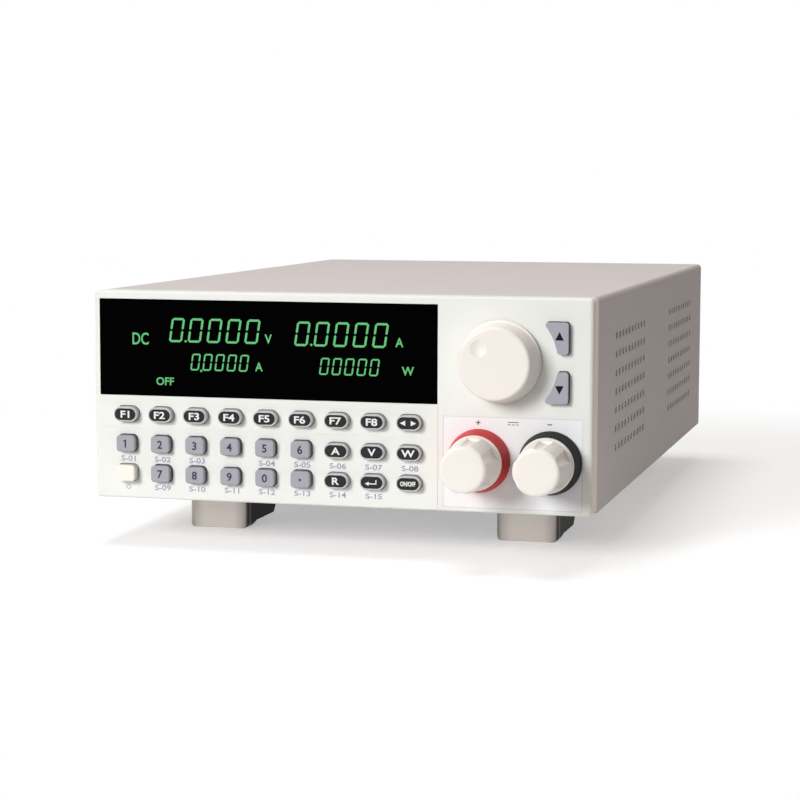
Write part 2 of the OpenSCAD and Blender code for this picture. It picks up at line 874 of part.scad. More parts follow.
module positive_terminal_washer() place() color("silver") terminal_washer(0);

module negative_terminal_washer() place() color("silver") terminal_washer(1);

module cap_profile() {
    rim_r = cap_rim_d / 2;
    front_r = cap_front_d / 2;
    recess_r = clamp_d / 2 + clamp_gap;
    bore = stud_d / 2 + play;
    rim_h = cap_base + cap_rim_t;
    polygon([
        [recess_r, cap_base], [rim_r, cap_base], [rim_r, rim_h], [cap_base_d / 2, rim_h + cap_step],
        [front_r, cap_reach - cap_edge], [front_r - cap_edge, cap_reach], [0, cap_reach],
        [0, cap_reach - cap_wall], [bore, cap_reach - cap_wall], [bore, cap_floor], [recess_r, cap_floor]
    ]);
    translate([front_r - cap_edge, cap_reach - cap_edge]) circle(cap_edge);
}

// Screw cap with scallops that run out at its rim
module terminal_cap(i) {
    flute_at = cap_front_d / 2 - flute_depth + flute_r;
    difference() {
        turned(post_x(i), post_z) cap_profile();
        for (k = [0 : cap_flutes - 1]) {
            angle = flute_turn + k * 360 / cap_flutes;
            rod(post_x(i) + flute_at * cos(angle), post_z + flute_at * sin(angle),
                [-cap_reach - past, -cap_floor - flute_land], flute_r);
        }
    }
}

module positive_terminal_cap() place() color("linen") terminal_cap(0);

module negative_terminal_cap() place() color("linen") terminal_cap(1);

// Case

module cover_section(inset) {
    w = case_w - 2 * inset;
    h = case_h - inset;
    r = bend_r - inset;
    translate([-w / 2, 0]) square([w, h - r]);
    translate([-w / 2 + r, 0]) square([w - 2 * r, h]);
    for (s = [-1, 1]) translate([s * (w / 2 - r), h - r]) circle(r);
}

module vent_slots(first) {
    for (row = [0 : vent_rows - 1], col = [0 : vent_cols - 1])
        translate([0, first + col * slot_pitch, case_h - vent_top - row * row_pitch])
            cube([case_w + 2 * past, slot_w, slot_h], center = true);
}

module top_cover() place() color("gainsboro") {
    difference() {
        union() {
            along_y([bezel_d, case_d]) difference() {
                cover_section(0);
                cover_section(sheet_t);
            }
            block([-half_w + bend_r, half_w - bend_r], lip_y, [cover_in - lip_h, cover_in + sheet_t / 2]);
        }
        vent_slots(vent_front);
        vent_slots(case_d - vent_rear - (vent_cols - 1) * slot_pitch);
        for (spot = rear_spots) rod(spot[0], spot[1], [rear_in - 2 * sheet_t, case_d], screw_r + screw_gap);
    }
}

module base_pan() place() color("lightgray") {
    pan_y = [bezel_d, rear_in];
    difference() {
        union() {
            block([-pan_half, pan_half], pan_y, [0, sheet_t]);
            for (x = [-pan_half, pan_half - sheet_t]) block([x, x + sheet_t], pan_y, [0, pan_flange]);
            block([-pan_half, pan_half], lip_y, [0, lip_h]);
            for (spot = standoff_spots) post(spot[0], spot[1], [0, main_z], standoff_r);
        }
        for (spot = standoff_spots) post(spot[0], spot[1], [-past, main_z + past], screw_r + screw_gap);
        for (spot = foot_spots) post(spot[0], spot[1], [-past, sheet_t + past], big_screw_r + screw_gap);
        for (spot = lug_spots) post(spot[0], spot[1], [-past, sheet_t + past], screw_r + screw_gap);
        for (spot = rear_spots) rod(spot[0], spot[1], [rear_in - 2 * sheet_t, case_d], screw_r + screw_gap);
    }
}

module rear_panel() place() color("gainsboro") {
    through = [rear_in - past, case_d + past];
    difference() {
        block([-pan_half, pan_half], [rear_in, case_d], [0, cover_in - sheet_gap]);
        rod(fan_x, fan_z, through, fan_bore_d / 2);
        for (spot = fan_spots) rod(spot[0], spot[1], through, big_screw_r + screw_gap);
        for (spot = rear_spots) rod(spot[0], spot[1], through, screw_r + screw_gap);
        along_y(through) {
            inlet_outline(port_gap - inlet_ledge);
            for (k = [0 : 3]) port_outline(k, port_gap);
        }
        for (s = [-1, 1]) rod(port_x(3) + s * jack_x, port_mid(3), through, jack_r + port_gap);
    }
}

// A pan head and its shank; the head's seat is at the origin and the shank runs up Z
module screw(r, length) {
    translate([0, 0, -head_h]) cylinder(h = head_h, r = head_ratio * r);
    cylinder(h = length, r = r);
}

module case_screws() place() color("silver") {
    to_front = [90, 0, 0];
    for (spot = foot_spots)
        translate([spot[0], spot[1], -foot_seat]) screw(big_screw_r, foot_seat + sheet_t - play);
    for (spot = lug_spots)
        translate([spot[0], spot[1], 0]) screw(screw_r, sheet_t + lug_h - screw_short);
    for (spot = rear_spots)
        translate([spot[0], case_d, spot[1]]) rotate(to_front) screw(screw_r, 2 * sheet_t + screw_past);
    for (spot = fan_spots)
        translate([spot[0], case_d + eye_t, spot[1]]) rotate(to_front) screw(big_screw_r, sheet_t + fan_bite);
    for (spot = boss_spots)
        translate([spot[0], board_back, spot[1]]) rotate(to_front) screw(board_screw_r, board_t + board_bite);
    for (spot = standoff_spots)
        translate([spot[0], spot[1], main_top]) mirror([0, 0, 1]) screw(screw_r, board_t + board_bite);
}

// Feet

module foot_outline() {
    r = foot_corner;
    translate([-foot_w / 2, -foot_h + r]) square([foot_w, foot_h - r]);
    translate([-foot_w / 2 + r, -foot_h]) square([foot_w - 2 * r, foot_h]);
    for (s = [-1, 1]) translate([s * (foot_w / 2 - r), -foot_h + r]) circle(r);
}

module at_feet()
    for (s = [-1, 1], end = foot_ends)
        translate([s * foot_x, end[0], 0]) rotate([0, 0, end[1]]) children();

// Block under the pan whose front lip reaches the bench
module foot_body() {
    low = -foot_h + foot_lift;
    difference() {
        intersection() {
            along_y([foot_cap_t, foot_l]) foot_outline();
            translate([-foot_w / 2, 0, 0]) rotate([90, 0, 90]) linear_extrude(foot_w) polygon([
                [foot_cap_t, 0], [foot_l, 0], [foot_l, low + foot_chamfer], [foot_l - foot_chamfer, low],
                [foot_lip[1], low], [foot_lip[0], -foot_h], [foot_cap_t, -foot_h]
            ]);
        }
        post(0, foot_screw_y, [-foot_h, -foot_seat], head_ratio * big_screw_r + 2 * screw_gap);
        post(0, foot_screw_y, [-foot_h, past], big_screw_r + screw_gap);
    }
}

module foot_bodies() place() color("black") at_feet() foot_body();

module foot_caps() place() color("darkgray") at_feet() intersection() {
    along_y([0, foot_cap_t]) foot_outline();
    translate([0, 0, -foot_h - past]) linear_extrude(foot_h + 2 * past)
        front_rounded(foot_w, foot_cap_t + past, foot_cap_round);
}

// Cooling

module fan_frame() place() color("dimgray") {
    difference() {
        along_y([fan_front, rear_in]) translate([fan_x, fan_z]) rounded_rect(fan_size, fan_size, fan_corner);
        rod(fan_x, fan_z, [fan_front - past, rear_in + past], fan_bore_d / 2);
        for (spot = fan_spots)
            rod(spot[0], spot[1], [fan_front - past, rear_in + past], big_screw_r + screw_gap);
    }
    difference() {
        union() {
            rod(fan_x, fan_z, [rear_in - strut_t, rear_in], hub_out);
            rod(fan_x, fan_z, [fan_front + bearing_in, rear_in - strut_t + past], bearing_r);
            for (k = [0 : 3]) translate([fan_x, 0, fan_z]) rotate([0, 45 + 90 * k, 0])
                block([hub_out - past, fan_bore_d / 2 + past], [rear_in - strut_t, rear_in],
                    [-strut_w / 2, strut_w / 2]);
        }
        rod(fan_x, fan_z, [fan_front, rear_in - axle_end], axle_r + run_gap);
    }
}

// One blade: an arched section drawn out from the hub
module fan_blade() {
    arch = 16;
    tilt = 45;
    rise = fan_depth - strut_t - blade_clear;
    tip = fan_bore_d / 2;
    rotate([0, 90, 0]) linear_extrude(tip) intersection() {
        translate([arch * cos(tilt), -arch * sin(tilt)]) difference() {
            circle(arch + blade_t / 2);
            circle(arch - blade_t / 2);
        }
        square([rise, rise], center = true);
    }
}

module fan_rotor() place() color("black") {
    cup = [fan_front + rotor_in, rear_in - strut_t - axle_end];
    middle = (cup[0] + cup[1]) / 2;
    tip_r = fan_bore_d / 2 - blade_gap;
    difference() {
        rod(fan_x, fan_z, cup, hub_out);
        rod(fan_x, fan_z, [cup[0] + rotor_floor, cup[1] + past], hub_out - hub_wall);
    }
    rod(fan_x, fan_z, [cup[0], rear_in - axle_end - play], axle_r);
    intersection() {
        difference() {
            rod(fan_x, fan_z, cup, tip_r);
            rod(fan_x, fan_z, [cup[0] - past, cup[1] + past], hub_out - hub_wall / 2);
        }
        translate([fan_x, middle, fan_z])
            for (k = [0 : fan_blades - 1]) rotate([0, k * 360 / fan_blades, 0]) fan_blade();
    }
}

// Wire guard: rings welded over four spokes that end in screw eyes
module fan_guard() place() color("silver") {
    spoke_y = case_d + eye_t / 2;
    spoke = [guard_rings[0] - spoke_in, fan_pitch / sqrt(2) - eye_r + spoke_bite];
    for (r = guard_rings) translate([fan_x, spoke_y + ring_lift, fan_z]) rotate([90, 0, 0]) rotate_extrude()
        translate([r, 0]) circle(wire_r);
    for (k = [0 : 3]) translate([fan_x, spoke_y, fan_z]) rotate([0, 45 + 90 * k, 0]) rotate([0, 90, 0])
        translate([0, 0, spoke[0]]) cylinder(h = spoke[1] - spoke[0], r = wire_r);
    for (spot = fan_spots) difference() {
        rod(spot[0], spot[1], [case_d, case_d + eye_t], eye_r);
        rod(spot[0], spot[1], [case_d - past, case_d + eye_t + past], big_screw_r + screw_gap);
    }
}

// Tunnel of fins between two walls, on two legs
module heat_sink() place() color("silver") {
    step = (sink_w - fin_t) / (fin_n + 1);
    low = sheet_t + sink_leg;
    along_y(sink_y) translate([sink_left, 0]) {
        for (k = [0 : fin_n + 1]) translate([k * step, low]) square([fin_t, sink_h]);
        translate([0, low]) square([sink_w, 2 * fin_t]);
        translate([0, low + sink_h - fin_t]) square([sink_w, fin_t]);
        for (k = [1, fin_n]) translate([k * step, sheet_t]) square([3 * fin_t, sink_leg + fin_t]);
    }
}

module power_transistors() place() color("black") {
    step = (sink_l - 2 * device[0]) / (device_n - 1);
    low = fan_z - device_drop;
    for (k = [0 : device_n - 1]) {
        y = sink_y[0] + device[0] + k * step;
        along = [y - device[0] / 2, y + device[0] / 2];
        block([sink_left - device[1], sink_left], along, [low, low + device[2]]);
    }
}

// Inside

// A part that stands on the main board, sunk into its solder
module on_board(size, share, row) {
    x = main_x[0] + share * main_w;
    y = main_y[0] + row;
    across = [x - size[0] / 2, x + size[0] / 2];
    along = [y - size[1] / 2, y + size[1] / 2];
    block(across, along, [main_top - solder, main_top + size[2]]);
}

// Board with reservoir capacitors, relays and a flat chip
module main_board() place() color("darkgreen") {
    difference() {
        block(main_x, main_y, [main_z, main_top]);
        for (spot = standoff_spots)
            post(spot[0], spot[1], [main_z - past, main_top + past], screw_r + screw_gap);
    }
    for (k = [1 : 3])
        post(main_x[0] + k * main_w / 4, main_y[0] + can_row,
            [main_top - solder, main_top + can_h], can_d / 2);
    for (k = [1, 2]) on_board(relay, k / 3, relay_row);
    on_board(chip, 1 / 2, chip_row);
}

// Laminated core with its winding through both windows
module transformer() place() color("saddlebrown") {
    x = -half_w / 2 - core_off;
    limb = core_w / 6;
    middle = sheet_t + core_h / 2;
    core = [core_y, core_y + core_d];
    opening_h = core_h - 2 * limb;
    difference() {
        centred(x, middle, core_w, core_h, core);
        for (s = [-1, 1])
            centred(x + s * 1.5 * limb, middle, limb, opening_h, [core[0] - past, core[1] + past]);
    }
    difference() {
        along_y([core[0] - coil_out, core[1] + coil_out]) translate([x, middle])
            rounded_rect(4 * limb - 2 * play, opening_h - 2 * play, coil_corner);
        centred(x, middle, 2 * limb + 2 * play, core_h, [core[0] - play, core[1] + play]);
        centred(x, middle, core_w, 2 * play, [core[0] - play, core[1] + play]);
    }
}

// Rear connections

module inlet_outline(grow)
    translate([inlet_x, inlet_z])
        rounded_rect(inlet_w + 2 * grow, inlet_h + 2 * grow, inlet_corner + grow);

// Socket with two cut corners
module socket_outline() {
    w = socket_w / 2;
    h = socket_h / 2;
    translate([inlet_x, inlet_z + socket_up]) polygon([
        [-w, -h], [w, -h], [w, h - socket_cut],
        [w - socket_cut, h], [-w + socket_cut, h], [-w, h - socket_cut]
    ]);
}

module mains_inlet() place() color("black") {
    face = case_d + inlet_t;
    floor_y = face - socket_l;
    drawer_z = inlet_z - inlet_h / 2 + drawer_low + drawer_h / 2;
    pull_z = drawer_z + drawer_h / 2 - pull_t;
    lined = [drawer_w - 2 * drawer_line, drawer_h - 2 * drawer_line];
    difference() {
        union() {
            along_y([case_d, face]) inlet_outline(0);
            along_y([floor_y - inlet_floor, case_d + past]) inlet_outline(-inlet_ledge);
        }
        along_y([floor_y, face + past]) socket_outline();
        difference() {
            centred(inlet_x, drawer_z, drawer_w, drawer_h, [face - drawer_line_t, face + past]);
            centred(inlet_x, drawer_z, lined[0], lined[1], [face - 2 * drawer_line_t, face]);
        }
        centred(inlet_x, pull_z, pull_w, pull_h, [face - pull_t, face + past]);
    }
    for (pin = pin_spots) translate([inlet_x + pin[0], 0, inlet_z + socket_up + pin[1]])
        centred(0, 0, pin_w, pin_h, [floor_y - past, floor_y + pin_l]);
}

// Outlines of the sense block, USB, network and serial connectors
module port_outline(k, grow) translate([port_x(k), port_mid(k)]) {
    size = k == 3 ? serial_shell : port_size[k];
    w = size[0] / 2 + grow;
    h = size[1] / 2 + grow;
    if (k == 3) polygon([[-w + serial_taper, -h], [w - serial_taper, -h], [w, h], [-w, h]]);
    else square([2 * w, 2 * h], center = true);
}

module sense_block() {
    face = case_d + sense_out;
    half_pitch = sense_pitch / 2;
    difference() {
        along_y([face - sense_l, face]) port_outline(0, 0);
        for (k = [-3 : 2 : 3]) {
            x = port_x(0) + k * half_pitch;
            translate([x, 0, port_mid(0) - sense_mouth / 2])
                centred(0, 0, sense_mouth, sense_mouth, [face - sense_mouth_l, face + past]);
            rod(x, port_mid(0) + sense_mouth, [face - sense_screw_r, face + past], sense_screw_r);
        }
    }
}

module usb_port() {
    mouth = case_d + port_lip;
    floor_y = mouth - usb_mouth_l;
    difference() {
        along_y([mouth - usb_l, mouth]) port_outline(1, 0);
        centred(port_x(1), port_mid(1), usb_mouth[0], usb_mouth[1], [floor_y, mouth + past]);
    }
    centred(port_x(1), port_mid(1), usb_tongue[0], usb_tongue[1], [floor_y - past, mouth - past]);
}

module network_port() {
    mouth = case_d + port_lip;
    inside = [mouth - network_mouth_l, mouth + past];
    mouth_z = port_mid(2) + port_lip;
    latch_z = mouth_z - network_mouth[1] / 2 - network_latch[1] / 2 + play;
    difference() {
        along_y([mouth - network_l, mouth]) port_outline(2, 0);
        centred(port_x(2), mouth_z, network_mouth[0], network_mouth[1], inside);
        centred(port_x(2), latch_z, network_latch[0], network_latch[1] - play, inside);
    }
}

// Shell with two rows of pins through the panel, on a flange behind it that two jack posts hold
module serial_port() {
    rim = case_d + port_proud;
    floor_y = case_d + port_lip;
    difference() {
        along_y([rear_in - serial_l, rim]) port_outline(3, 0);
        along_y([floor_y, rim + past]) port_outline(3, -serial_wall);
    }
    for (row = [[1, 2], [-1, 1.5]], k = [-row[1] : row[1]])
        translate([port_x(3) + k * serial_pin_x, 0, port_mid(3) + row[0] * serial_pin_z])
            rod(0, 0, [floor_y - past, rim - past], serial_pin_r);
    centred(port_x(3), port_mid(3), port_size[3][0], port_size[3][1], [rear_in - sheet_t, rear_in]);
    for (s = [-1, 1])
        rod(port_x(3) + s * jack_x, port_mid(3), [rear_in - past, case_d + jack_out], jack_r, 6);
}

module rear_connectors() place() color("slategray") {
    sense_block();
    usb_port();
    network_port();
    serial_port();
}

front_bezel();
display_window();
display_module();
keypad_board();
key_switches();
rotary_encoder();
power_switch();
top_cover();
base_pan();
rear_panel();
case_screws();
foot_bodies();
foot_caps();
heat_sink();
power_transistors();
main_board();
transformer();
fan_frame();
fan_rotor();
fan_guard();
mains_inlet();
rear_connectors();
positive_terminal_ring();
negative_terminal_ring();
terminal_studs();
positive_terminal_washer();
negative_terminal_washer();
positive_terminal_cap();
negative_terminal_cap();
encoder_knob();
encoder_shaft();
up_key();
down_key();
for (r = [0 : 2], c = [0 : last_col])
    panel_key(c, r);
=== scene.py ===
# %% [markdown]
# # A bench dc electronic load
# The object is a half-rack test instrument: a light grey steel case with a white moulded front, a black
# display window, three rows of small keys, a turning knob and two screw terminals. The frame brings every
# solid in at its true size and place. This script adds what solids don't carry: a camera, studio light,
# finishes, and the fine printed and lit parts of the panel.

# %% Load the frame
import json
import math

import bmesh
import bpy
from mathutils import Matrix, Vector

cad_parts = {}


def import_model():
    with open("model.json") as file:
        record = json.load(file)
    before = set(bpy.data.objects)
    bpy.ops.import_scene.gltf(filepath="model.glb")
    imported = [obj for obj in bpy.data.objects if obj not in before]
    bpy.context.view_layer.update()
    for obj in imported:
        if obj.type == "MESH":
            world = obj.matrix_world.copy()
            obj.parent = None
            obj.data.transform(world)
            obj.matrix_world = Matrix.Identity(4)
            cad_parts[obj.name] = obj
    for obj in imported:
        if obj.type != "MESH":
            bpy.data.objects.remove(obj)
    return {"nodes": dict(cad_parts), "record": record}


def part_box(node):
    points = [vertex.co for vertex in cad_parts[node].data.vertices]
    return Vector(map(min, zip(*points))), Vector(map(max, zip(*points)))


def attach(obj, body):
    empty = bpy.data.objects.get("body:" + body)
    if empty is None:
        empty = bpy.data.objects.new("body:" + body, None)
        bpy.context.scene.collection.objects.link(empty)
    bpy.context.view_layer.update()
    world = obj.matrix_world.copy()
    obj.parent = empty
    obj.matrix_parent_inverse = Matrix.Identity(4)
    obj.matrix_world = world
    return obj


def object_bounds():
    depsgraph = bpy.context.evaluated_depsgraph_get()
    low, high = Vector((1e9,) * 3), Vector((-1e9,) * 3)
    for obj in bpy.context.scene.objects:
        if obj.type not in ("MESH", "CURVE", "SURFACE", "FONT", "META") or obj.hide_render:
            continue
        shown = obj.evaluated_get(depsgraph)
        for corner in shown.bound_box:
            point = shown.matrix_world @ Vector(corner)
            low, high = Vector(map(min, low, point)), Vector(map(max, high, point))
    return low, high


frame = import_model()
CAD_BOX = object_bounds()
MM = 0.001
scene = bpy.context.scene

# %% [markdown]
# The panel's own places are easiest to read as a maker's drawing gives them: millimetres to the right of the
# middle, behind the front face, and above the underside of the case. One small function turns such a place
# into metres of the shared frame, from the box of the bezel, so nothing is fitted by eye.

# %% Places on the panel
BEZEL_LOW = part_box("front_bezel")[0]


def panel(x, y, z):
    return Vector((x * MM, BEZEL_LOW.y + y * MM, BEZEL_LOW.z + z * MM))


def front_of(node):
    """The middle of a node's front side, in metres."""
    low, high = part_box(node)
    return Vector(((low.x + high.x) / 2, low.y, (low.z + high.z) / 2))


print("panel origin:", [round(value, 4) for value in panel(0, 0, 0)])

# %% [markdown]
# The camera stands a little to the right of the instrument and looks slightly down. A long lens keeps the
# upright edges almost parallel, as in a catalogue picture. Blender measures a lens in millimetres on a
# 36 mm sensor, so the focal length in pixels is scaled to that width.

# %% Camera
PICTURE_PX = 800
FOCUS_PX = 2199
SENSOR_MM = 36
CAMERA_AT = panel(254.1, -866.5, 138.1)
CAMERA_YAW = 14.70
CAMERA_PITCH = 5.92
CAMERA_ROLL = -0.15
lens = bpy.data.cameras.new("camera")
lens.sensor_width = SENSOR_MM
lens.lens = SENSOR_MM * FOCUS_PX / PICTURE_PX
camera = bpy.data.objects.new("camera", lens)
camera.location = CAMERA_AT
camera.rotation_euler = [math.radians(turn) for turn in (90 - CAMERA_PITCH, CAMERA_ROLL, CAMERA_YAW)]
scene.collection.objects.link(camera)
scene.camera = camera
scene.view_settings.view_transform = "Standard"
print("lens:", round(lens.lens, 1), "mm")

# %% [markdown]
# Materials are node trees, and their maths is easier to read as Python. A Wire wraps one output socket, and
# the usual operators on it add Math nodes. A Tree makes every other node with one method: the node's type,
# its settings, and the values or wires that go into its sockets.

# %% Wires and trees


class Wire:
    """One output socket of a tree. Operators on it add Math nodes."""

    def __init__(self, tree, socket):
        self.tree = tree
        self.socket = socket

    def pick(self, output):
        return Wire(self.tree, self.socket.node.outputs[output])

    def maths(self, operation, first, second):
        return self.tree.node("ShaderNodeMath", {"operation": operation}, {0: first, 1: second})

    def __add__(self, other):
        return self.maths("ADD", self, other)

    def __radd__(self, other):
        return self.maths("ADD", other, self)

    def __sub__(self, other):
        return self.maths("SUBTRACT", self, other)

    def __rsub__(self, other):
        return self.maths("SUBTRACT", other, self)

    def __mul__(self, other):
        return self.maths("MULTIPLY", self, other)

    def __rmul__(self, other):
        return self.maths("MULTIPLY", other, self)

    def __gt__(self, other):
        return self.maths("GREATER_THAN", self, other)

    def __lt__(self, other):
        return self.maths("LESS_THAN", self, other)

    def between(self, low, high):
        return (self > low) * (self < high)


class Tree:
    """The node tree of a material or a world, emptied and filled by one method."""

    def __init__(self, owner):
        owner.use_nodes = True
        self.tree = owner.node_tree
        self.tree.nodes.clear()

    def node(self, kind, settings=None, sockets=None):
        made = self.tree.nodes.new(kind)
        for name, value in (settings or {}).items():
            setattr(made, name, value)
        for name, value in (sockets or {}).items():
            if isinstance(value, Wire):
                self.tree.links.new(value.socket, made.inputs[name])
            else:
                made.inputs[name].default_value = value
        return Wire(self, made.outputs[0]) if made.outputs else None

    def mix(self, factor, first, second):
        """A colour between two colours."""
        return self.node("ShaderNodeMix", {"data_type": "RGBA"}, {0: factor, 6: first, 7: second}).pick(2)

    def ramp(self, value, low, high):
        """A smooth rise from 0 at the low value to 1 at the high one."""
        return self.node("ShaderNodeMapRange", {"interpolation_type": "SMOOTHSTEP"},
                         {"Value": value, "From Min": low, "From Max": high})

    def seen(self):
        """1 for rays that show this surface as a background, and 0 for rays that only light others."""
        path = self.node("ShaderNodeLightPath")
        rays = [path.pick(name) for name in ("Is Camera Ray", "Is Glossy Ray", "Is Transmission Ray")]
        return rays[0].maths("MAXIMUM", rays[0].maths("MAXIMUM", rays[0], rays[1]), rays[2])


def rgb(red, green, blue):
    """A colour as a picture editor gives it, from 0 to 255, made linear for Blender."""
    parts = [level / 255 for level in (red, green, blue)]
    return tuple(p / 12.92 if p <= 0.04045 else ((p + 0.055) / 1.055) ** 2.4 for p in parts) + (1.0,)


def grey(level):
    return (level, level, level, 1.0)


print("a middle grey of 128 is", round(rgb(128, 128, 128)[0], 3), "in linear light")

# %% [markdown]
# The picture has a plain white ground with a soft shadow. A white floor alone would need so much light that
# the panel washed out. So the lamps stay at a plain level, the floor adds a steady glow only for rays that
# look straight at it, and further from the object's footprint it fades into pure white. The shadow is what
# the floor's own diffuse part loses. The light that comes from all round is a little warm, as it is between
# painted walls.

# %% Floor and surroundings
AMBIENT = (0.214, 0.195, 0.180, 1.0)
FLOOR_ALBEDO = 0.84
FLOOR_GLOW = 0.42
FADE_NEAR, FADE_FAR = 0.03, 0.3
FOOTPRINT = (CAD_BOX[1][0], CAD_BOX[1][1], 0)
floor_finish = bpy.data.materials.new("studio_floor")
tree = Tree(floor_finish)
spot = tree.node("ShaderNodeTexCoord").pick("Object")
apart = tree.node("ShaderNodeVectorMath", {"operation": "ABSOLUTE"}, {0: spot})
past = tree.node("ShaderNodeVectorMath", {"operation": "SUBTRACT"}, {0: apart, 1: FOOTPRINT})
beside = tree.node("ShaderNodeVectorMath", {"operation": "MAXIMUM"}, {0: past, 1: (0, 0, 0)})
reach = tree.node("ShaderNodeVectorMath", {"operation": "LENGTH"}, {0: beside}).pick("Value")
fade = tree.ramp(reach, FADE_NEAR, FADE_FAR)
seen = tree.seen()
near = tree.node("ShaderNodeAddShader", {}, {
    0: tree.node("ShaderNodeBsdfDiffuse", {}, {"Color": grey(FLOOR_ALBEDO)}),
    1: tree.node("ShaderNodeEmission", {}, {"Color": tree.mix(seen, grey(0), grey(FLOOR_GLOW))})})
far = tree.node("ShaderNodeEmission", {}, {"Color": tree.mix(seen, AMBIENT, grey(1))})
tree.node("ShaderNodeOutputMaterial", {}, {
    "Surface": tree.node("ShaderNodeMixShader", {}, {0: fade, 1: near, 2: far})})

FLOOR_HALF = 6
ground = bmesh.new()
bmesh.ops.create_grid(ground, x_segments=1, y_segments=1, size=FLOOR_HALF)
floor_mesh = bpy.data.meshes.new("floor")
ground.to_mesh(floor_mesh)
ground.free()
floor = bpy.data.objects.new("floor", floor_mesh)
floor.location.z = CAD_BOX[0][2]
floor_mesh.materials.append(floor_finish)
scene.collection.objects.link(floor)

scene.world = bpy.data.worlds.new("studio")
tree = Tree(scene.world)
sky = tree.node("ShaderNodeBackground", {}, {"Color": tree.mix(tree.seen(), AMBIENT, grey(1))})
tree.node("ShaderNodeOutputWorld", {}, {"Surface": sky})
print("floor at", round(floor.location.z, 4), "m")

# %% [markdown]
# One large soft lamp stands in front, high and to the left: it lights the face, leaves the right side in
# shade and throws soft shadows from the knob and the caps. A weaker one from above keeps the lid bright.
# The wider a lamp is, the softer the edges of its shadows.

# %% Lamps
AIM = Vector((0, -0.1, 0.06))


def soft_lamp(name, place, side, watts):
    data = bpy.data.lights.new(name, "AREA")
    data.shape = "DISK"
    data.size = side
    data.energy = watts
    lamp = bpy.data.objects.new(name, data)
    lamp.location = place
    lamp.rotation_euler = (AIM - Vector(place)).to_track_quat("-Z", "Y").to_euler()
    scene.collection.objects.link(lamp)
    print(name, "at", place, "with", watts, "W")


soft_lamp("key_lamp", (-0.62, -1.65, 0.66), 0.7, 22.0)
soft_lamp("lid_lamp", (-0.15, 0.05, 1.6), 0.8, 9.6)

# %% [markdown]
# A Finish is a Tree with a Principled shader at its end. Its methods give what most surfaces need: noise of a
# known size, masks for a part of the object, and a shallow bump. Sizes are given in millimetres, so the grain
# keeps its scale on every piece.

# %% Finishes: the common tools


class Finish(Tree):
    """A material that reads Object coordinates."""

    def __init__(self, name):
        self.material = bpy.data.materials.new(name)
        super().__init__(self.material)
        self.places = self.node("ShaderNodeTexCoord").pick("Object")

    def axis(self, name):
        return self.node("ShaderNodeSeparateXYZ", {}, {0: self.places}).pick(name)

    def noise(self, size, detail=2.0, stretch=(1, 1, 1)):
        """Cloudy values around 0.5, in lumps of about this size in millimetres."""
        spread = self.node("ShaderNodeVectorMath", {"operation": "MULTIPLY"}, {0: self.places, 1: stretch})
        return self.node("ShaderNodeTexNoise", {},
                         {"Vector": spread, "Scale": 1 / (size * MM), "Detail": detail})

    def within(self, x=None, y=None, z=None):
        """1 inside a box of the panel's millimetres, and 0 outside it. A side that is left out is open."""
        mask = None
        for name, base, span in (("X", 0, x), ("Y", BEZEL_LOW.y, y), ("Z", BEZEL_LOW.z, z)):
            if span:
                side = self.axis(name).between(base + span[0] * MM, base + span[1] * MM)
                mask = side if mask is None else mask * side
        return mask

    def far_from(self, name, middle, near, far):
        """0 up to near millimetres from the middle of an axis, on either side of it, and 1 beyond far."""
        along = self.axis(name)
        apart = along.maths("ABSOLUTE", along - middle, 0.0)
        return self.ramp(apart, near * MM, far * MM)

    def blend(self, factor, first, second):
        """A number between two numbers."""
        return self.node("ShaderNodeMix", {}, {0: factor, 2: first, 3: second})

    def bump(self, height, depth):
        """A bent normal for a relief of this depth in millimetres."""
        return self.node("ShaderNodeBump", {}, {"Height": height, "Distance": depth * MM, "Strength": 1.0})

    def shade(self, sockets):
        shader = self.node("ShaderNodeBsdfPrincipled", {}, sockets)
        self.node("ShaderNodeOutputMaterial", {}, {"Surface": shader})
        return self.material


print("finish tools ready")

# %% [markdown]
# Each kind of material is one function. It varies over the surface as the real one does: a slow drift of
# colour, fine grain in the roughness and a shallow bump. Two marks are painted shade: a warm tint on both ends
# of the bezel, a little warmer than its face, and a darkening of a key's flanks towards the panel.

# %% Finishes: kinds of material
# Where the warm painted shade on the bezel's ends begins and is full, across the panel
BEZEL_SHADE_TINT = (105.4, 106.9)
# Painted shade on a key's flanks runs between these shares of how far the key stands proud
FLANK_FRONT, FLANK_BACK = 0.88, 0.3


def tinted(colour, share):
    """A darker or lighter copy of a colour."""
    return tuple(min(1.0, part * share) for part in colour[:3]) + (1.0,)


def moulded(name, colour, roughness=0.45, grain=0.45, depth=0.012, drift=0.03, gloss=0.5, ends=None):
    """Moulded plastic or silicone with a fine grain. ends is painted warm shade on both sides, if given."""
    look = Finish(name)
    slow = look.noise(30, 1)
    fine = look.noise(grain, 3)
    tone = look.mix(slow, tinted(colour, 1 - drift), tinted(colour, 1 + drift))
    if ends:
        tone = look.mix(look.far_from("X", 0.0, *BEZEL_SHADE_TINT), tone, ends)
    return look.shade({
        "Base Color": tone,
        "Roughness": roughness + (fine - 0.5) * 0.16 + (slow - 0.5) * 0.08,
        "Normal": look.bump(fine, depth),
        "Specular IOR Level": gloss})


def painted(name, colour, roughness=0.74):
    """Powder coat on sheet steel: an orange-peel skin with a trace of dust."""
    look = Finish(name)
    slow = look.noise(60, 2)
    peel = look.noise(0.9, 2)
    dust = look.noise(0.25, 1)
    tone = look.mix(slow, tinted(colour, 0.97), tinted(colour, 1.03))
    tone = look.mix((dust - 0.5) * 0.12 + 0.04, tone, tinted(colour, 0.8))
    return look.shade({
        "Base Color": tone,
        "Roughness": roughness + (peel - 0.5) * 0.2,
        "Normal": look.bump(peel, 0.02),
        "Specular IOR Level": 0.32})


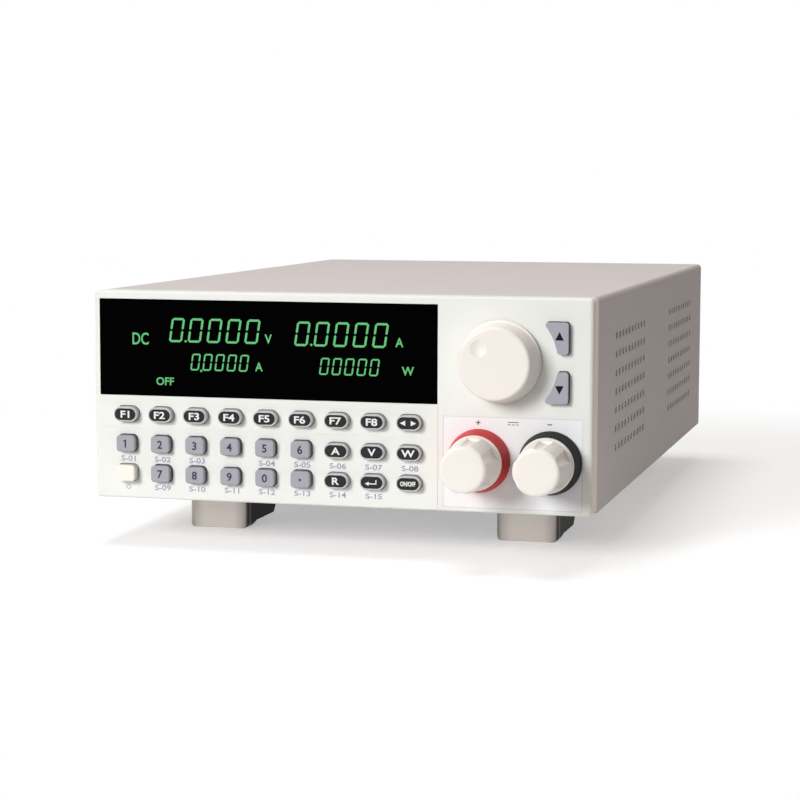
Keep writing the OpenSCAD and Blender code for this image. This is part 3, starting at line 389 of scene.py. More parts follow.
def plated(name, colour, roughness=0.25, stretch=(1, 1, 1), grain=0.6, depth=0.004):
    """Bare or plated metal, with drawn or rolled streaks where stretch is uneven."""
    look = Finish(name)
    streak = look.noise(grain, 3, stretch)
    slow = look.noise(12, 1)
    tone = look.mix(streak, tinted(colour, 0.9), tinted(colour, 1.06))
    return look.shade({
        "Base Color": tone,
        "Metallic": 1.0,
        "Roughness": roughness + (streak - 0.5) * 0.22 + (slow - 0.5) * 0.1,
        "Normal": look.bump(streak, depth)})


def keycap(name, colour, proud, dark=0.3):
    """Dull silicone with painted shade on its flanks, which darken towards the panel."""
    look = Finish(name)
    slow = look.noise(8, 1)
    fine = look.noise(0.35, 3)
    front, back = (BEZEL_LOW.y - share * proud * MM for share in (FLANK_FRONT, FLANK_BACK))
    flank_shade = look.ramp(look.axis("Y"), front, back)
    tone = look.mix(slow, tinted(colour, 0.97), tinted(colour, 1.03))
    return look.shade({
        "Base Color": look.mix(flank_shade, tone, tinted(colour, dark)),
        "Roughness": 0.58 + (fine - 0.5) * 0.16 + flank_shade * 0.1,
        "Normal": look.bump(fine, 0.008),
        "Specular IOR Level": 0.3})


def patchwork(name, base, patches):
    """A base and patches over it, each a colour, a roughness and a metallic. A patch starts with its box."""
    look = Finish(name)
    grain = look.noise(0.6, 3)
    tone, rough, metal = base
    for region, colour, roughness, metallic in patches:
        mask = look.within(**region)
        tone = look.mix(mask, tone, colour)
        rough = look.blend(mask, rough, roughness)
        metal = look.blend(mask, metal, metallic)
    return look.shade({
        "Base Color": look.mix((grain - 0.5) * 0.3 + 0.1, tone, grey(0.02)),
        "Roughness": rough + (grain - 0.5) * 0.2,
        "Metallic": metal,
        "Normal": look.bump(grain, 0.006)})


print("five kinds of material")

# %% [markdown]
# The panel's plastics differ in small ways that the eye notices: the bezel is a cool off-white with a fine
# spark-eroded texture, the knob and caps are warmer and smoother, and the keys are dull silicone. A moulded
# finish is given by its colour, roughness, size of grain, depth of bump, drift of tone and gloss, and the
# bezel's also by the warm painted shade of its ends. A keycap is given by its colour, how far it stands proud
# and how dark the painted shade on its flanks is.

# %% Finishes: plastics of the front
FINISHES = {
    # The bezel's last colour is a warm tint painted on both its ends as shade
    "bezel_white": moulded("bezel_white", rgb(238, 240, 236), 0.5, 0.5, 0.01, 0.012, 0.4, rgb(248, 238, 227)),
    "cap_white": moulded("cap_white", rgb(246, 241, 235), 0.42, 0.7, 0.01, 0.012, 0.4),
    # Keycaps darken their flanks with painted shade, and a last number sets how dark it is
    "key_grey": keycap("key_grey", rgb(166, 167, 175), 3.5),
    "key_pale": keycap("key_pale", rgb(204, 204, 205), 3.5, 0.75),
    "arrow_grey": keycap("arrow_grey", rgb(168, 170, 181), 3.0),
    "power_cream": keycap("power_cream", rgb(250, 244, 234), 4.6, 0.6),
    "ring_red": moulded("ring_red", rgb(210, 26, 33), 0.42, 0.6, 0.006, 0.05, 0.25),
    "ring_black": moulded("ring_black", rgb(22, 22, 23), 0.5, 0.6, 0.006, 0.06, 0.1),
    "foot_black": moulded("foot_black", rgb(21, 20, 20), 0.55, 0.5, 0.02, 0.08, 0.12),
    "switch_grey": moulded("switch_grey", rgb(62, 62, 66), 0.5, 0.5, 0.01, 0.05),
    "device_black": moulded("device_black", rgb(28, 28, 30), 0.6, 0.4, 0.02, 0.08),
    "fan_black": moulded("fan_black", rgb(26, 26, 28), 0.45, 0.5, 0.015, 0.06),
}
print(len(FINISHES), "plastics")

# %% [markdown]
# The case is folded steel under a warm light grey powder coat. The feet wear a silver lacquer whose colour
# has painted reflection darkening its rounded sides and painted shade at the corner that looks to the right.
# Inside and behind there is bare metal: a drawn aluminium heat sink, chromed wire, plated studs and pressed
# shells.

# %% Finishes: paint and metal
# Spans of painted reflection at a foot's rounded sides, and of painted shade at its right corner
FOOT_X, FOOT_REFLECTION_SPAN, FOOT_SHADE_SPAN = 70, (6, 13.5), (11.9, 13.2)
FINISHES["cover_paint"] = painted("cover_paint", rgb(220, 212, 211))
FINISHES["pan_steel"] = painted("pan_steel", rgb(211, 203, 202))
look = Finish("foot_silver")
fine = look.noise(0.3, 3)
across = look.axis("X") + look.blend(look.axis("X") > 0.0, FOOT_X * MM, -FOOT_X * MM)
# Painted reflection: the base colour darkens towards both rounded sides of a foot
edge = look.ramp(across.maths("ABSOLUTE", across, 0.0), FOOT_REFLECTION_SPAN[0] * MM, FOOT_REFLECTION_SPAN[1] * MM)
# Painted shade: the corner that looks to the right is much darker
turned = look.ramp(across, FOOT_SHADE_SPAN[0] * MM, FOOT_SHADE_SPAN[1] * MM)
FINISHES["foot_silver"] = look.shade({
    "Base Color": look.mix(turned, look.mix(edge, rgb(196, 189, 183), rgb(158, 153, 147)), rgb(64, 62, 60)),
    "Metallic": 1.0,
    "Roughness": 0.36 + (fine - 0.5) * 0.2,
    "Normal": look.bump(fine, 0.003)})
FINISHES["plain_metal"] = plated("plain_metal", rgb(205, 204, 200), 0.28)
FINISHES["guard_chrome"] = plated("guard_chrome", rgb(220, 220, 222), 0.14)
FINISHES["sink_aluminium"] = plated("sink_aluminium", rgb(205, 207, 210), 0.38, (1, 0.02, 1), 0.5, 0.01)
print(len(FINISHES), "finishes with paint and metal")

# %% [markdown]
# The window is a sheet of black filter acrylic, so dark that only the lit figures show through. It gets a
# low specular level, because the real sheet is coated against glare, and faint wipe marks in its roughness.
# The tube behind it is smoked glass, and the boards are green lacquer over copper tracks.

# %% Finishes: window, tube and boards
look = Finish("window_black")
wipe = look.noise(14, 3, (1, 1, 0.35))
FINISHES["window_black"] = look.shade({
    "Base Color": look.mix(wipe, grey(0.0002), grey(0.0008)),
    "Roughness": 0.12 + (wipe - 0.5) * 0.1,
    "Specular IOR Level": 0.006})

look = Finish("display_tube")
smoke = look.noise(5, 2)
FINISHES["display_tube"] = look.shade({
    "Base Color": look.mix(smoke, rgb(20, 26, 26), rgb(34, 42, 41)),
    "Roughness": 0.1 + smoke * 0.1})

MAIN_BOARD_Y, BOARD_TOP, PARTS_TOP = (150, 350), 10.9, 50
CAN_Y, CAN_TOP, CAN_END = (176, 198), 42.5, 44
TRACK_PITCH = 9
look = Finish("board_green")
tracks = look.node("ShaderNodeTexBrick", {"offset": 0.37},
                   {"Vector": look.places, "Scale": 1 / (TRACK_PITCH * MM), "Mortar Size": 0.06})
copper = tracks.pick("Fac")
weave = look.noise(0.4, 2)
over_board = look.within(y=MAIN_BOARD_Y, z=(BOARD_TOP, PARTS_TOP))
cans = look.within(y=CAN_Y, z=(BOARD_TOP, CAN_TOP))
tops = look.within(y=CAN_Y, z=(CAN_TOP, CAN_END))
lacquer = look.mix(copper, rgb(18, 74, 44), rgb(44, 112, 66))
fitted = look.mix(tops, look.mix(cans, rgb(30, 31, 34), rgb(28, 44, 92)), rgb(190, 192, 194))
FINISHES["board_green"] = look.shade({
    "Base Color": look.mix(over_board, lacquer, fitted),
    "Roughness": 0.35 + (weave - 0.5) * 0.15,
    "Metallic": tops,
    "Normal": look.bump(copper, 0.03)})
print("window, tube and board finishes made")

# %% [markdown]
# Some nodes hold several materials in one body: the mains inlet has plated pins in black plastic, the
# connectors mix pressed shells with coloured inserts, and the transformer has taped windings on a steel core.
# Boxes in the panel's own millimetres say where each material is.

# %% Finishes: nodes of several materials
BLACK = rgb(24, 24, 26)
NICKEL = (rgb(204, 202, 196), 0.26, 1.0)
TAPE = (rgb(214, 176, 62), 0.4, 0.0)
INLET_X, SOCKET_Z = -75, 64
PIN_HALF_W, PIN_HALF_H, PIN_Y = 1.05, 2.05, (334.6, 346)
PINS = [(INLET_X + x, SOCKET_Z + z) for x, z in ((-7, -2), (7, -2), (0, 2))]
PIN_BOXES = [dict(x=(x - PIN_HALF_W, x + PIN_HALF_W), y=PIN_Y, z=(z - PIN_HALF_H, z + PIN_HALF_H))
             for x, z in PINS]
SENSE_BLOCK = dict(x=(-96, -74))
SENSE_SCREWS = dict(SENSE_BLOCK, y=(349.4, 349.8), z=(18.2, 21.4))
SQUARE_TONGUE = dict(x=(-66, -60.3), y=(338, 348.2), z=(14.6, 18))
NETWORK_INSIDE = dict(x=(-50, -37), y=(330, 348.4), z=(10, 23))
SERIAL_INSERT = dict(x=(-22, -6.5), y=(348.4, 348.8), z=(13, 21.2))
WINDINGS = [dict(y=(40, 61.9)), dict(y=(96.1, 120))]
FINISHES["inlet_black"] = patchwork("inlet_black", (BLACK, 0.4, 0.0), [(box, *NICKEL) for box in PIN_BOXES])
FINISHES["port_metal"] = patchwork("port_metal", (rgb(198, 198, 196), 0.3, 1.0), [
    (SENSE_BLOCK, rgb(44, 122, 66), 0.45, 0.0),
    (SENSE_SCREWS, *NICKEL),
    (SQUARE_TONGUE, rgb(226, 226, 222), 0.4, 0.0),
    (NETWORK_INSIDE, BLACK, 0.45, 0.0),
    (SERIAL_INSERT, rgb(30, 34, 44), 0.45, 0.0)])
FINISHES["core_steel"] = patchwork("core_steel", (rgb(112, 92, 78), 0.5, 0.8), [
    (box, *TAPE) for box in WINDINGS])
print(len(FINISHES), "finishes in all")

# %% [markdown]
# Every solid of the frame takes the finish of its slot in the record, and the two arrow keys one of their own,
# because they stand less proud. Only the material changes: the mesh and its place belong to the frame.

# %% Dress the frame
SLOT_OF = {row["node"]: row["material_slot"] for row in frame["record"]["subparts"]}
OWN_FINISH = {"up_key": "arrow_grey", "down_key": "arrow_grey"}
for name, solid in frame["nodes"].items():
    solid.data.materials.clear()
    solid.data.materials.append(FINISHES[OWN_FINISH.get(name, SLOT_OF[name])])
print("dressed", len(SLOT_OF), "nodes")

# %% [markdown]
# New pieces start as small bmesh shapes. Five helpers are enough for most of them: one makes a bmesh a piece
# that rides on a body, one stamps copies of a shape at several places, one turns a shape about an axis, one
# makes a thin plate with round corners, and one makes the triangles of the arrows.

# %% Tools for new pieces


def piece(name, shape, finish, body):
    """Makes a bmesh a piece of the object, with the body it rides on."""
    bmesh.ops.recalc_face_normals(shape, faces=shape.faces)
    mesh = bpy.data.meshes.new(name)
    shape.to_mesh(mesh)
    shape.free()
    mesh.materials.append(finish)
    made = bpy.data.objects.new(name, mesh)
    scene.collection.objects.link(made)
    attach(made, body)


def stamp(shape, part, place):
    """Adds a copy of one bmesh to another, at a place or by a matrix."""
    mesh = bpy.data.meshes.new("stamp")
    part.to_mesh(mesh)
    mesh.transform(place if isinstance(place, Matrix) else Matrix.Translation(place))
    shape.from_mesh(mesh)
    bpy.data.meshes.remove(mesh)


def turn_by(shape, degrees, axis):
    """Turns a shape about an axis through the origin."""
    bmesh.ops.rotate(shape, verts=shape.verts, matrix=Matrix.Rotation(math.radians(degrees), 3, axis))


def plate(width, height, thick, corner=0.0, steps=6):
    """A flat plate that faces the front, in millimetres. corner is the radius of its four corners."""
    part = bmesh.new()
    bmesh.ops.create_cube(part, size=1, matrix=Matrix.Diagonal((width * MM, thick * MM, height * MM, 1)))
    if corner:
        through = [e for e in part.edges if abs(e.verts[0].co.y - e.verts[1].co.y) > thick * MM / 2]
        bmesh.ops.bevel(part, geom=through, offset=corner * MM, affect="EDGES", segments=steps,
                        profile=0.5, material=-1)
    return part


def triangle(width, height, thick, turn=0):
    """A flat triangle that points up, or another way when turned by degrees."""
    part = bmesh.new()
    bmesh.ops.create_cone(part, cap_ends=True, segments=3, radius1=1, radius2=1, depth=thick * MM)
    turn_by(part, 90, "X")
    across = [v.co.x for v in part.verts]
    up = [v.co.z for v in part.verts]
    span = (max(across) - min(across), max(up) - min(up))
    middle = ((max(across) + min(across)) / 2, 0, (max(up) + min(up)) / 2)
    bmesh.ops.translate(part, verts=part.verts, vec=-Vector(middle))
    bmesh.ops.scale(part, verts=part.verts, vec=(width * MM / span[0], 1, height * MM / span[1]))
    turn_by(part, turn, "Y")
    return part


print("piece tools ready")

# %% [markdown]
# A line of text is a curve with a font. It is made a mesh before it gets its place, so it becomes raised ink
# like every other mark. The size of a font isn't the height of its capitals, so a sample letter is measured
# first, and every later line is set by its real height.

# %% Lines of type
INK_T = 0.06


def set_type(words, height, weight=0.0):
    """A line of type as a flat bmesh that faces the front, its middle at the origin."""
    curve = bpy.data.curves.new("type", "FONT")
    curve.body = words
    curve.size = height * MM / TYPE_CAP
    curve.extrude = INK_T * MM / 2
    curve.offset = weight * MM
    curve.resolution_u = 4
    holder = bpy.data.objects.new("type", curve)
    scene.collection.objects.link(holder)
    mesh = bpy.data.meshes.new_from_object(holder.evaluated_get(bpy.context.evaluated_depsgraph_get()))
    bpy.data.objects.remove(holder)
    bpy.data.curves.remove(curve)
    part = bmesh.new()
    part.from_mesh(mesh)
    bpy.data.meshes.remove(mesh)
    bmesh.ops.remove_doubles(part, verts=part.verts, dist=MM / 1000)
    low = [min(v.co[i] for v in part.verts) for i in (0, 1)]
    high = [max(v.co[i] for v in part.verts) for i in (0, 1)]
    bmesh.ops.translate(part, verts=part.verts, vec=(-(low[0] + high[0]) / 2, -(low[1] + high[1]) / 2, 0))
    turn_by(part, 90, "X")
    return part


def tall(part):
    """The height of a shape, in metres."""
    heights = [v.co.z for v in part.verts]
    return max(heights) - min(heights)


TYPE_CAP = 1.0
sample = set_type("H", 1.0)
TYPE_CAP = tall(sample) / MM
sample.free()
print("capital letters are", round(TYPE_CAP, 3), "of the type's size")

# %% [markdown]
# The figures on the display are vacuum fluorescent: green segments that glow. Each segment is a bar with
# pointed ends, which is a thin plate with its corners bevelled away. Six of them make a nought, and a shear
# gives the slant. They lie on the face of the window and give off their own light at a plain strength.

# %% Lit figures of the display
GLOW_T = 0.04
SLANT = math.tan(math.radians(8.5))
# Shares of a stroke: the bevel of an end, what the gaps take off a segment's length, and an upright's shift
END_BEVEL, ACROSS_CUT, UPRIGHT_CUT, UPRIGHT_SHIFT = 0.47, 1.15, 0.85, 0.1
look = Finish("display_glow")
flicker = look.noise(1.2, 2)
glow = look.shade({
    "Base Color": grey(0.004),
    "Roughness": 0.4,
    "Emission Color": look.mix(flicker, rgb(40, 160, 76), rgb(84, 202, 116)),
    "Emission Strength": 1.0})


def segment(length, width):
    """A lit bar with pointed ends: a plate whose corners are cut off by one flat step."""
    return plate(length, width, GLOW_T, END_BEVEL * width, 1)


def nought(width, height, stroke):
    """Six lit segments round an open middle."""
    part = bmesh.new()
    across = segment(width - ACROSS_CUT * stroke, stroke)
    upright = segment(height / 2 - UPRIGHT_CUT * stroke, stroke)
    for side in (-1, 1):
        stamp(part, across, Vector((0, 0, side * (height - stroke) / 2 * MM)))
        for end in (-1, 1):
            up = end * (height / 4 - UPRIGHT_SHIFT * stroke)
            spot = Vector((side * (width - stroke) / 2 * MM, 0, up * MM))
            stamp(part, upright, Matrix.Translation(spot) @ Matrix.Rotation(math.radians(90), 4, "Y"))
    lean = Matrix.Identity(4)
    lean[0][2] = SLANT
    bmesh.ops.transform(part, matrix=lean, verts=part.verts)
    across.free()
    upright.free()
    return part


BIG = nought(5.85, 10.2, 0.9)
SMALL = nought(3.8, 7.1, 0.64)
POINT = plate(0.9, 0.9, GLOW_T, 0.25, 2)
ROW_LONG = 5
# The figure, the middle of the first one, the pitch and the height of the row, then the place of the point
FIGURE_ROWS = [
    (BIG, -69.75, 8.325, 71.9, -65.9, 67.3),
    (BIG, -14.74, 8.36, 71.5, -10.9, 67.0),
    (SMALL, -61.57, 5.34, 58.65, -59.1, 55.0),
    (SMALL, -5.25, 5.35, 58.25, None, None),
]
WINDOW_FACE = -GLOW_T / 2
lit = bmesh.new()
for figure, first, pitch, height, point_x, point_z in FIGURE_ROWS:
    for place in range(ROW_LONG):
        stamp(lit, figure, panel(first + place * pitch, WINDOW_FACE, height))
    if point_x is not None:
        stamp(lit, POINT, panel(point_x, WINDOW_FACE, point_z))
for part in (BIG, SMALL, POINT):
    part.free()
LIT_WEIGHT = 0.09
# The words, their height, their width as a share of the typeface's own, and their place
LIT_WORDS = [("V", 3.6, 0.9, -29.55, 69.0), ("A", 3.6, 0.88, 26.7, 68.8), ("A", 3.5, 0.9, -33.66, 57.3),
             ("W", 3.4, 0.95, 30.33, 57.1), ("DC", 4.8, 0.76, -86.04, 68.0), ("OFF", 3.1, 1.0, -75.2, 50.2)]
for words, height, wide, x, z in LIT_WORDS:
    line = set_type(words, height, LIT_WEIGHT)
    bmesh.ops.scale(line, verts=line.verts, vec=(wide, GLOW_T / INK_T, 1))
    stamp(lit, line, panel(x, WINDOW_FACE, z))
    line.free()
piece("display_figures", lit, glow, "chassis")
print("display lit with", len(FIGURE_ROWS), "rows")

# %% [markdown]
# The keys carry their marks on the front. The oval keys have a dark printed oval with a white mark in it, and
# the number keys a navy figure. Each mark is a raised film a few hundredths of a millimetre thick, and it
# rides on its own key, so it moves when the key is pressed. The marks are plain codes, and the figure one gets
# the flag that the built-in typeface leaves out.

# %% Marks on the keys
oval_ink = moulded("oval_ink", rgb(38, 38, 41), 0.55, 0.4, 0.004, 0.06, 0.15)
white_ink = moulded("white_ink", rgb(236, 236, 236), 0.5, 0.3, 0.003, 0.02, 0.3)
navy_ink = moulded("navy_ink", rgb(44, 48, 84), 0.5, 0.3, 0.003, 0.05, 0.3)
OVAL_W, OVAL_H, OVAL_T = 9.3, 4.95, 0.08
OVAL_ROUND, OVAL_STEPS = OVAL_H / 2 - 0.01, 10
MARK_H, FIGURE_H = 2.8, 3.2
MARK_WEIGHT = 0.1
LETTER_WIDE, PAIR_WIDE, WORD_WIDE, WORD_SHARE = 1.25, 1.3, 0.7, 0.62
FLAG_W, FLAG_H, FLAG_T = 1.1, 0.5, 0.9 * INK_T
FLAG_X, FLAG_Z, FLAG_TURN = -0.45, 1.2, -35
OVAL_MARKS = {"key_f%d" % number: "F%d" % number for number in range(1, 9)}
OVAL_MARKS.update({"key_mode_current": "A", "key_mode_voltage": "V", "key_mode_power": "W",
                   "key_mode_resistance": "R", "key_output": "ON/OFF"})
FIGURES = {"key_%d" % number: str(number) for number in range(10)}


def before(node, thick):
    """Where a film of this thickness sits on the front of a node."""
    return front_of(node) - Vector((0, thick / 2 * MM, 0))


oval = plate(OVAL_W, OVAL_H, OVAL_T, OVAL_ROUND, OVAL_STEPS)
for node in [*OVAL_MARKS, "key_left_right", "key_enter"]:
    film = bmesh.new()
    stamp(film, oval, before(node, OVAL_T))
    piece(node + "_oval", film, oval_ink, node)
oval.free()
for node, words in OVAL_MARKS.items():
    height, wide = MARK_H, LETTER_WIDE if len(words) == 1 else PAIR_WIDE
    if len(words) > 2:
        height, wide = MARK_H * WORD_SHARE, WORD_WIDE
    line = set_type(words, height, MARK_WEIGHT)
    bmesh.ops.scale(line, verts=line.verts, vec=(wide, 1, 1))
    mark = bmesh.new()
    stamp(mark, line, before(node, INK_T) - Vector((0, OVAL_T * MM, 0)))
    piece(node + "_mark", mark, white_ink, node)
    line.free()
for node, words in FIGURES.items():
    line = set_type(words, FIGURE_H, MARK_WEIGHT)
    if words == "1":
        flag = plate(FLAG_W, FLAG_H, FLAG_T)
        turn_by(flag, FLAG_TURN, "Y")
        stamp(line, flag, Vector((FLAG_X * MM, 0, FLAG_Z * MM)))
        flag.free()
    mark = bmesh.new()
    stamp(mark, line, before(node, INK_T))
    piece(node + "_mark", mark, navy_ink, node)
    line.free()
print("marked", len(OVAL_MARKS) + len(FIGURES), "keys with figures and letters")

# %% [markdown]
# The other keys carry signs instead of letters: two small arrows, the bent arrow of an enter key, a round
# point, and a triangle on each arrow key. They are put together from plates and triangles.

# %% Signs on the keys
SIDE_W, SIDE_H, SIDE_X = 2.2, 2.3, 2.3
sides = bmesh.new()
for side in (-1, 1):
    arrow = triangle(SIDE_W, SIDE_H, INK_T, 90 * side)
    spot = before("key_left_right", INK_T) + Vector((side * SIDE_X * MM, -OVAL_T * MM, 0))
    stamp(sides, arrow, spot)
    arrow.free()
piece("key_left_right_mark", sides, white_ink, "key_left_right")

ENTER_BARS = [(3.4, 0.45, 0.4, -0.5), (0.45, 1.6, 1.9, 0.3)]
HEAD_W, HEAD_H, HEAD_X, HEAD_Z = 1.7, 1.6, -2.0, -0.5
entry = bmesh.new()
spot = before("key_enter", INK_T) - Vector((0, OVAL_T * MM, 0))
for width, height, x, z in ENTER_BARS:
    bar = plate(width, height, INK_T)
    stamp(entry, bar, spot + Vector((x * MM, 0, z * MM)))
    bar.free()
arrow = triangle(HEAD_W, HEAD_H, INK_T, -90)
stamp(entry, arrow, spot + Vector((HEAD_X * MM, 0, HEAD_Z * MM)))
arrow.free()
piece("key_enter_mark", entry, white_ink, "key_enter")

DOT_SIDE, DOT_ROUND, DOT_DOWN = 1.0, 0.49, 0.1
dot = bmesh.new()
round_dot = plate(DOT_SIDE, DOT_SIDE, INK_T, DOT_ROUND)
stamp(dot, round_dot, before("key_point", INK_T) - Vector((0, 0, DOT_DOWN * MM)))
round_dot.free()
piece("key_point_mark", dot, navy_ink, "key_point")

black_ink = moulded("black_ink", rgb(12, 12, 22), 0.55, 0.3, 0.003, 0.05, 0.1)
ARROW_W, ARROW_H = 3.5, 3.4
ARROW_MARKS = {"up_key": (93.6, 73.0, 0), "down_key": (93.7, 51.3, 180)}
for node, (x, z, turn) in ARROW_MARKS.items():
    mark = bmesh.new()
    arrow = triangle(ARROW_W, ARROW_H, INK_T, turn)
    spot = panel(x, 0, z)
    spot.y = before(node, INK_T).y
    stamp(mark, arrow, spot)
    arrow.free()
    piece(node + "_mark", mark, black_ink, node)
print("signs on the cursor, enter, point and arrow keys")

# %% [markdown]
# Small blue-grey codes are printed on the panel under the keys, and the power button has its sign below it:
# an open circle with a bar in its gap. One short edge is spun for the circle, and its faces are then given the
# thickness of the ink.

# %% Printing on the panel
legend_ink = moulded("legend_ink", rgb(152, 160, 186), 0.5, 0.3, 0.003, 0.04, 0.3)
LEGEND_H, LEGEND_WIDE, LEGEND_WEIGHT = 2.15, 1.3, 0.04
UPPER_Z, LOWER_Z = 17.0, 4.9
ARC_R, ARC_START, ARC_STEPS = (0.75, 1.05), 38, 20
POWER_BAR_W, POWER_BAR_H, POWER_BAR_UP = 0.3, 1.1, 0.75
LEGENDS = {
    UPPER_Z: ["key_1", "key_2", "key_3", "key_5", "key_6",
              "key_mode_current", "key_mode_voltage", "key_mode_power"],
    LOWER_Z: ["key_7", "key_8", "key_9", "key_0", "key_point", "key_mode_resistance", "key_enter"],
}


def thicken(shape, depth):
    """Gives the flat faces of a shape a thickness along Y, in millimetres."""
    made = bmesh.ops.extrude_face_region(shape, geom=shape.faces[:])["geom"]
    moved = [part for part in made if isinstance(part, bmesh.types.BMVert)]
    bmesh.ops.translate(shape, verts=moved, vec=(0, depth * MM, 0))


legends = bmesh.new()
count = 0
for height, nodes in LEGENDS.items():
    for node in nodes:
        count += 1
        line = set_type("S-%02d" % count, LEGEND_H, LEGEND_WEIGHT)
        bmesh.ops.scale(line, verts=line.verts, vec=(LEGEND_WIDE, 1, 1))
        spot = panel(0, -INK_T / 2, height)
        spot.x = front_of(node).x
        stamp(legends, line, spot)
        line.free()
arc = bmesh.new()
first, second = [arc.verts.new((0, 0, radius * MM)) for radius in ARC_R]
rim = arc.edges.new((first, second))
turn_by(arc, ARC_START, "Y")
bmesh.ops.spin(arc, geom=[first, second, rim], cent=(0, 0, 0), axis=(0, 1, 0),
               angle=math.radians(360 - 2 * ARC_START), steps=ARC_STEPS)
thicken(arc, -INK_T)
spot = panel(0, 0, LOWER_Z)
spot.x = front_of("power_button").x
stamp(legends, arc, spot)
arc.free()
bar = plate(POWER_BAR_W, POWER_BAR_H, INK_T)
stamp(legends, bar, spot + Vector((0, -INK_T * MM / 2, POWER_BAR_UP * MM)))
bar.free()
piece("panel_codes", legends, legend_ink, "chassis")
print(count, "codes and the power sign printed")

# %% [markdown]
# Over the terminals stand a plus, a minus and the sign for direct current, which is a line over three dashes.
# All of them are short bars on the film that lies there, so one list and one loop make them.

# %% Signs over the terminals
sign_ink = moulded("sign_ink", rgb(96, 98, 108), 0.5, 0.3, 0.003, 0.04, 0.3)
FILM_FRONT, FILM_BACK = 0.05, 0.3
SIGN_Z = 36.95
# The width and height of a bar, its place across, and how far it is above the middle of the signs
SIGN_BARS = [(1.8, 0.44, 59.9, 0), (0.44, 1.8, 59.9, 0), (1.9, 0.44, 89.4, 0),
             (4.6, 0.34, 74.4, 0.5), (1.2, 0.34, 72.7, -0.5), (1.2, 0.34, 74.4, -0.5), (1.2, 0.34, 76.1, -0.5)]
signs = bmesh.new()
for width, height, x, up in SIGN_BARS:
    bar = plate(width, height, INK_T)
    stamp(signs, bar, panel(x, FILM_FRONT - INK_T / 2, SIGN_Z + up))
    bar.free()
piece("terminal_signs", signs, sign_ink, "chassis")
print(len(SIGN_BARS), "sign bars printed")

# %% [markdown]
# The field round the terminals is a printed film in a shallow recess. It is drawn as an outline with two round
# holes, filled with triangles and given its thickness, so the rings pass through it instead of cutting it.

# %% Film round the terminals
film_white = moulded("film_white", rgb(246, 247, 249), 0.38, 0.5, 0.004, 0.01, 0.4)
FILM_X, FILM_Z = (45.21, 102.99), (1.81, 39.39)
HOLE_R, HOLE_STEPS = 8.0, 48
film_wide, film_high = FILM_X[1] - FILM_X[0], FILM_Z[1] - FILM_Z[0]
middle_x, middle_z = sum(FILM_X) / 2, sum(FILM_Z) / 2
outline = bmesh.new()
bmesh.ops.create_grid(outline, x_segments=1, y_segments=1, size=0.5)
bmesh.ops.delete(outline, geom=outline.faces[:], context="FACES_ONLY")
bmesh.ops.scale(outline, verts=outline.verts, vec=(film_wide * MM, film_high * MM, 1))
for ring in ("positive_terminal_ring", "negative_terminal_ring"):
    centre = front_of(ring) - panel(middle_x, 0, middle_z)
    bmesh.ops.create_circle(outline, cap_ends=False, segments=HOLE_STEPS, radius=HOLE_R * MM,
                            matrix=Matrix.Translation((centre.x, centre.z, 0)))
bmesh.ops.triangle_fill(outline, use_beauty=True, edges=outline.edges[:])
turn_by(outline, 90, "X")
thicken(outline, FILM_BACK - FILM_FRONT)
bmesh.ops.translate(outline, verts=outline.verts, vec=panel(middle_x, FILM_FRONT, middle_z))
piece("terminal_film", outline, film_white, "chassis")
print("film", round(film_wide, 1), "by", round(film_high, 1), "mm")

# %% [markdown]
# A thin grey line is printed round the film, just inside its edge. It is four bars, and each one is moved
# inwards by half its width.

# %% Border of the film
border_ink = moulded("border_ink", rgb(222, 223, 226), 0.5, 0.3, 0.003, 0.04, 0.3)
BORDER_W = 0.3
BORDER_BARS = [(film_wide, BORDER_W, middle_x, z) for z in FILM_Z]
BORDER_BARS += [(BORDER_W, film_high, x, middle_z) for x in FILM_X]
border = bmesh.new()
for width, height, x, z in BORDER_BARS:
    bar = plate(width, height, INK_T)
    inward = Vector(((x < middle_x) - (x > middle_x), 0, (z < middle_z) - (z > middle_z))) * BORDER_W / 2 * MM
    stamp(border, bar, panel(x, FILM_FRONT - INK_T / 2, z) + inward)
    bar.free()
piece("terminal_border", border, border_ink, "chassis")
print(len(BORDER_BARS), "bars round the film")

# %% [markdown]
# The punched slots of the vents have their edges pressed in, which leaves less of each slot open. A bar along
# the top and the bottom of every row shows these lips. It lies inside the thickness of the sheet, so the metal
# between two slots hides it.

# %% Lips of the vents
CASE_HALF, LIP_IN, LIP_T = 107.0, 0.06, 0.9
SLOT_TOP, SLOT_PITCH, SLOT_COUNT = 70, 8, 7
SLOT_ROWS = [SLOT_TOP - SLOT_PITCH * row for row in range(SLOT_COUNT)]
VENT_MIDDLES, VENT_LONG = (97.6, 262.4), 84.2
# The height of a lip, and how far its middle is above the middle of the slot
LIPS = [(1.8, 1.6), (0.4, -2.3)]
lips = bmesh.new()
for height, up in LIPS:
    bar = plate(LIP_T, height, VENT_LONG)
    for side in (-1, 1):
        for y in VENT_MIDDLES:
            for z in SLOT_ROWS:
                stamp(lips, bar, panel(side * (CASE_HALF - LIP_IN - LIP_T / 2), y, z + up))
    bar.free()
piece("vent_lips", lips, FINISHES["cover_paint"], "chassis")
print(len(LIPS) * 2 * len(VENT_MIDDLES) * len(SLOT_ROWS), "lips on the vents")
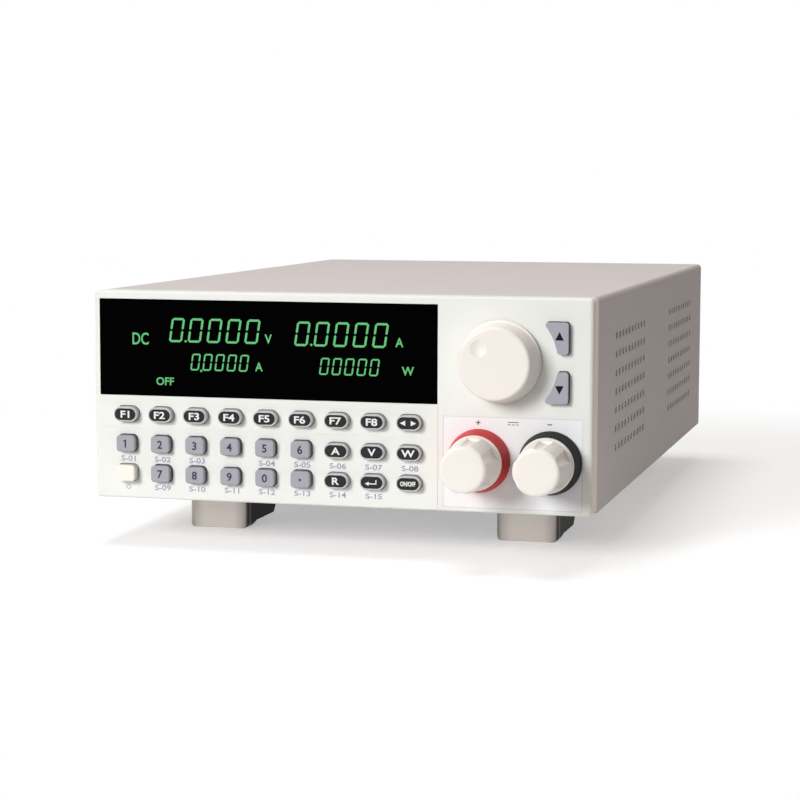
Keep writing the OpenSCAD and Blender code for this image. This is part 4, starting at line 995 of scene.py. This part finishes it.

# %% [markdown]
# The back gets the small things that a hand finds there: dark crosses on the heads of the screws, which are
# painted shade standing in for their recesses, sprung contacts in the network socket, and a plain number over
# each connector. A mark that faces the back is turned round first.

# %% Details of the back
REAR_FACE, SCREW_FACE, FAN_SCREW_FACE = 348.0, 350.0, 352.0
CROSS_T = 0.03
SCREW_X, SCREW_Z, SCREW_CROSS = (-95.6, 95.6), (4.1, 83.3), (3.2, 0.62)
FAN_X, FAN_Z, FAN_SCREW, FAN_CROSS = 52, 43.2, (-25, 25), (4.2, 0.8)
# Painted shade: flat dark crosses on the screw heads stand in for the shade in their recesses
recess_shade = moulded("recess_shade", rgb(26, 26, 27), 0.6, 0.3, 0.003, 0.05, 0.2)
contact_gold = plated("contact_gold", rgb(226, 186, 104), 0.24)
rear_ink = moulded("rear_ink", rgb(58, 58, 64), 0.5, 0.3, 0.003, 0.05, 0.3)
CROSSES = [(x, SCREW_FACE, z, *SCREW_CROSS) for x in SCREW_X for z in SCREW_Z]
CROSSES += [(FAN_X + x, FAN_SCREW_FACE, FAN_Z + z, *FAN_CROSS) for x in FAN_SCREW for z in FAN_SCREW]
crosses = bmesh.new()
for x, y, z, long, wide in CROSSES:
    for width, height in ((long, wide), (wide, long)):
        bar = plate(width, height, CROSS_T)
        stamp(crosses, bar, panel(x, y + CROSS_T / 2, z))
        bar.free()
piece("screw_crosses", crosses, recess_shade, "chassis")

NETWORK_X, CONTACT_Y, CONTACT_Z = -43.44, 341.4, 20.6
CONTACT_COUNT, CONTACT_PITCH, CONTACT_TILT = 8, 1.02, -14
CONTACT_W, CONTACT_T, CONTACT_LONG = 0.45, 0.3, 8.0
contacts = bmesh.new()
for count in range(CONTACT_COUNT):
    wire = plate(CONTACT_W, CONTACT_T, CONTACT_LONG)
    turn_by(wire, CONTACT_TILT, "X")
    across = NETWORK_X + (count - (CONTACT_COUNT - 1) / 2) * CONTACT_PITCH
    stamp(contacts, wire, panel(across, CONTACT_Y, CONTACT_Z))
    wire.free()
piece("network_contacts", contacts, contact_gold, "chassis")

NUMBER_H, NUMBER_WEIGHT = 2.6, 0.05
NUMBER_PLACES = [(-85.08, 26.4), (-63.16, 26.4), (NETWORK_X, 27.4), (-14.22, 26.4)]
numbers = bmesh.new()
for count, (x, z) in enumerate(NUMBER_PLACES, 1):
    line = set_type(str(count), NUMBER_H, NUMBER_WEIGHT)
    turn_by(line, 180, "Z")
    stamp(numbers, line, panel(x, REAR_FACE + INK_T / 2, z))
    line.free()
piece("rear_numbers", numbers, rear_ink, "chassis")
print(len(CROSSES), "crosses,", CONTACT_COUNT, "contacts and", len(NUMBER_PLACES), "numbers on the back")
